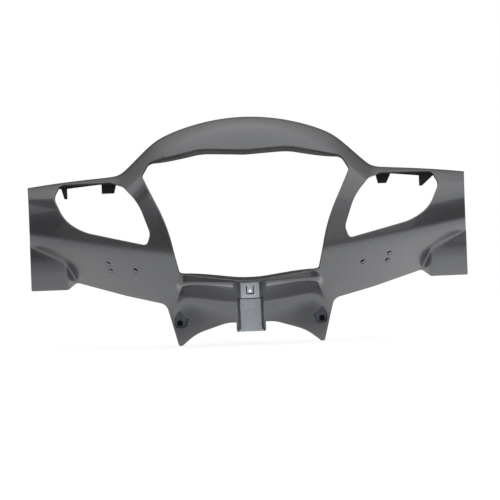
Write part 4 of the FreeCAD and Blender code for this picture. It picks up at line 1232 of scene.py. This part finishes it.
def seen_directly(tree, mirror_level=1.0):
    """One for what the camera or clear glass sees, a level for reflections, zero for falling light."""
    path = tree.nodes.new("ShaderNodeLightPath").outputs
    mirrored_light = combined(tree, "MULTIPLY", path["Is Glossy Ray"], mirror_level)
    direct = combined(tree, "MAXIMUM", path["Is Camera Ray"], path["Is Transmission Ray"])
    return combined(tree, "MAXIMUM", direct, mirrored_light)


def faded(tree, value, low, high, low_level):
    """A level that climbs from less than one at a low value to one at a high value."""
    return add_node(tree, "ShaderNodeMapRange", (
        ("Value", value), ("From Min", low), ("From Max", high), ("To Min", low_level))).outputs["Result"]


def make_floor():
    """The floor, white to the camera, whose glow reflections see fade to the front and the left."""
    material, shader, place = matt_material("pale_floor", FLOOR_GREY, FLOOR_ROUGHNESS)
    tree = material.node_tree
    axes = add_node(tree, "ShaderNodeSeparateXYZ", (("Vector", place),)).outputs
    front_fade = faded(tree, axes["Y"], FRONT_FAR, FRONT_NEAR, FRONT_LEVEL)
    left_fade = faded(tree, axes["X"], LEFT_FAR, LEFT_NEAR, LEFT_LEVEL)
    seen = seen_directly(tree, combined(tree, "MULTIPLY", front_fade, left_fade))
    glow = combined(tree, "MULTIPLY", seen, FLOOR_GLOW)
    tree.links.new(glow, shader.inputs["Emission Strength"])
    corners = [(x * FLOOR_HALF, y * FLOOR_HALF, floor_height)
               for x, y in ((-1, -1), (1, -1), (1, 1), (-1, 1))]
    stage_sheet("floor", corners, [(0, 1, 2, 3)], material)


def make_screen(name, material, turns_deg, tops, foot=floor_height):
    """An upright curved screen around the object, that only reflections see."""
    corners = []
    for step in range(SCREEN_PANELS + 1):
        share = step / SCREEN_PANELS
        turn = math.radians(turns_deg[0] + (turns_deg[1] - turns_deg[0]) * share)
        x, y = SCREEN_RADIUS * math.sin(turn), -SCREEN_RADIUS * math.cos(turn)
        corners += [(x, y, foot), (x, y, tops[0] + (tops[1] - tops[0]) * share)]
    panels = [(2 * i, 2 * i + 1, 2 * i + 3, 2 * i + 2) for i in range(SCREEN_PANELS)]
    screen = stage_sheet(name, corners, panels, material)
    screen.visible_camera = False
    screen.visible_diffuse = False
    screen.visible_shadow = False


def make_rear_card():
    """The screen behind the object, which glows more towards its top."""
    material, shader, place = matt_material("rear_card", grey=0.0)
    tree = material.node_tree
    height = add_node(tree, "ShaderNodeSeparateXYZ", (("Vector", place),)).outputs["Z"]
    glow = faded(tree, height, CARD_START, CARD_TOP, CARD_GLOW)
    tree.links.new(glow, shader.inputs["Emission Strength"])
    make_screen("rear_card", material, CARD_TURNS_DEG, (CARD_TOP, CARD_TOP))


def make_light(name, place, target, width, height, watts):
    """A soft lamp aimed at a place, seen by neither the camera nor reflections."""
    lamp = bpy.data.lights.new(name, "AREA")
    lamp.shape = "RECTANGLE"
    lamp.size, lamp.size_y = width, height
    lamp.energy = watts
    light = add_object(name, lamp)
    light.location = place
    light.rotation_euler = (Vector(target) - Vector(place)).to_track_quat("-Z", "Y").to_euler()
    light.visible_camera = False
    light.visible_glossy = False


def make_surroundings():
    """A world that is white to look at and a little dimmer as light."""
    world = bpy.data.worlds.new("studio")
    bpy.context.scene.world = world
    world.use_nodes = True
    background = world.node_tree.nodes["Background"]
    background.inputs["Color"].default_value = WHITE
    strength = faded(world.node_tree, seen_directly(world.node_tree), 0.0, 1.0, AMBIENT)
    world.node_tree.links.new(strength, background.inputs["Strength"])


make_floor()
# Screens from the left round to the right: grey, turns in degrees from straight ahead of the cowl,
# heights of both ends, and foot
for name, grey, turns_deg, tops, foot in (
        ("upper_left_screen", 0.02, (-115.0, -76.0), (5.2, 7.0), LEFT_TOP),
        ("left_screen", 0.65, (-90.0, -76.0), (LEFT_TOP, LEFT_TOP), floor_height),
        ("front_left_screen", 0.05, (-76.0, -62.0), (7.0, 3.0), floor_height),
        ("pillar_screen", 0.42, (-62.0, -34.0), (3.0, 2.2), floor_height),
        ("front_screen", 0.25, (-34.0, 14.0), (2.2, 2.2), floor_height),
        ("front_right_screen", 0.95, (14.0, 55.0), (2.2, 2.3), floor_height),
        ("right_screen", 0.25, (55.0, 110.0), (2.3, 2.4), floor_height)):
    make_screen(name, matt_material(name, grey)[0], turns_deg, tops, foot)
make_rear_card()
make_surroundings()
make_light("softbox", place=(0.6, -0.35, 1.4), target=(0, 0, 0.1), width=1.6, height=1.0, watts=8.0)
make_light("low_fill", place=(0, -1.4, 0.03), target=(0, 0, 0.03), width=0.8, height=0.08, watts=4.4)
bpy.context.scene.view_settings.view_transform = "Standard"
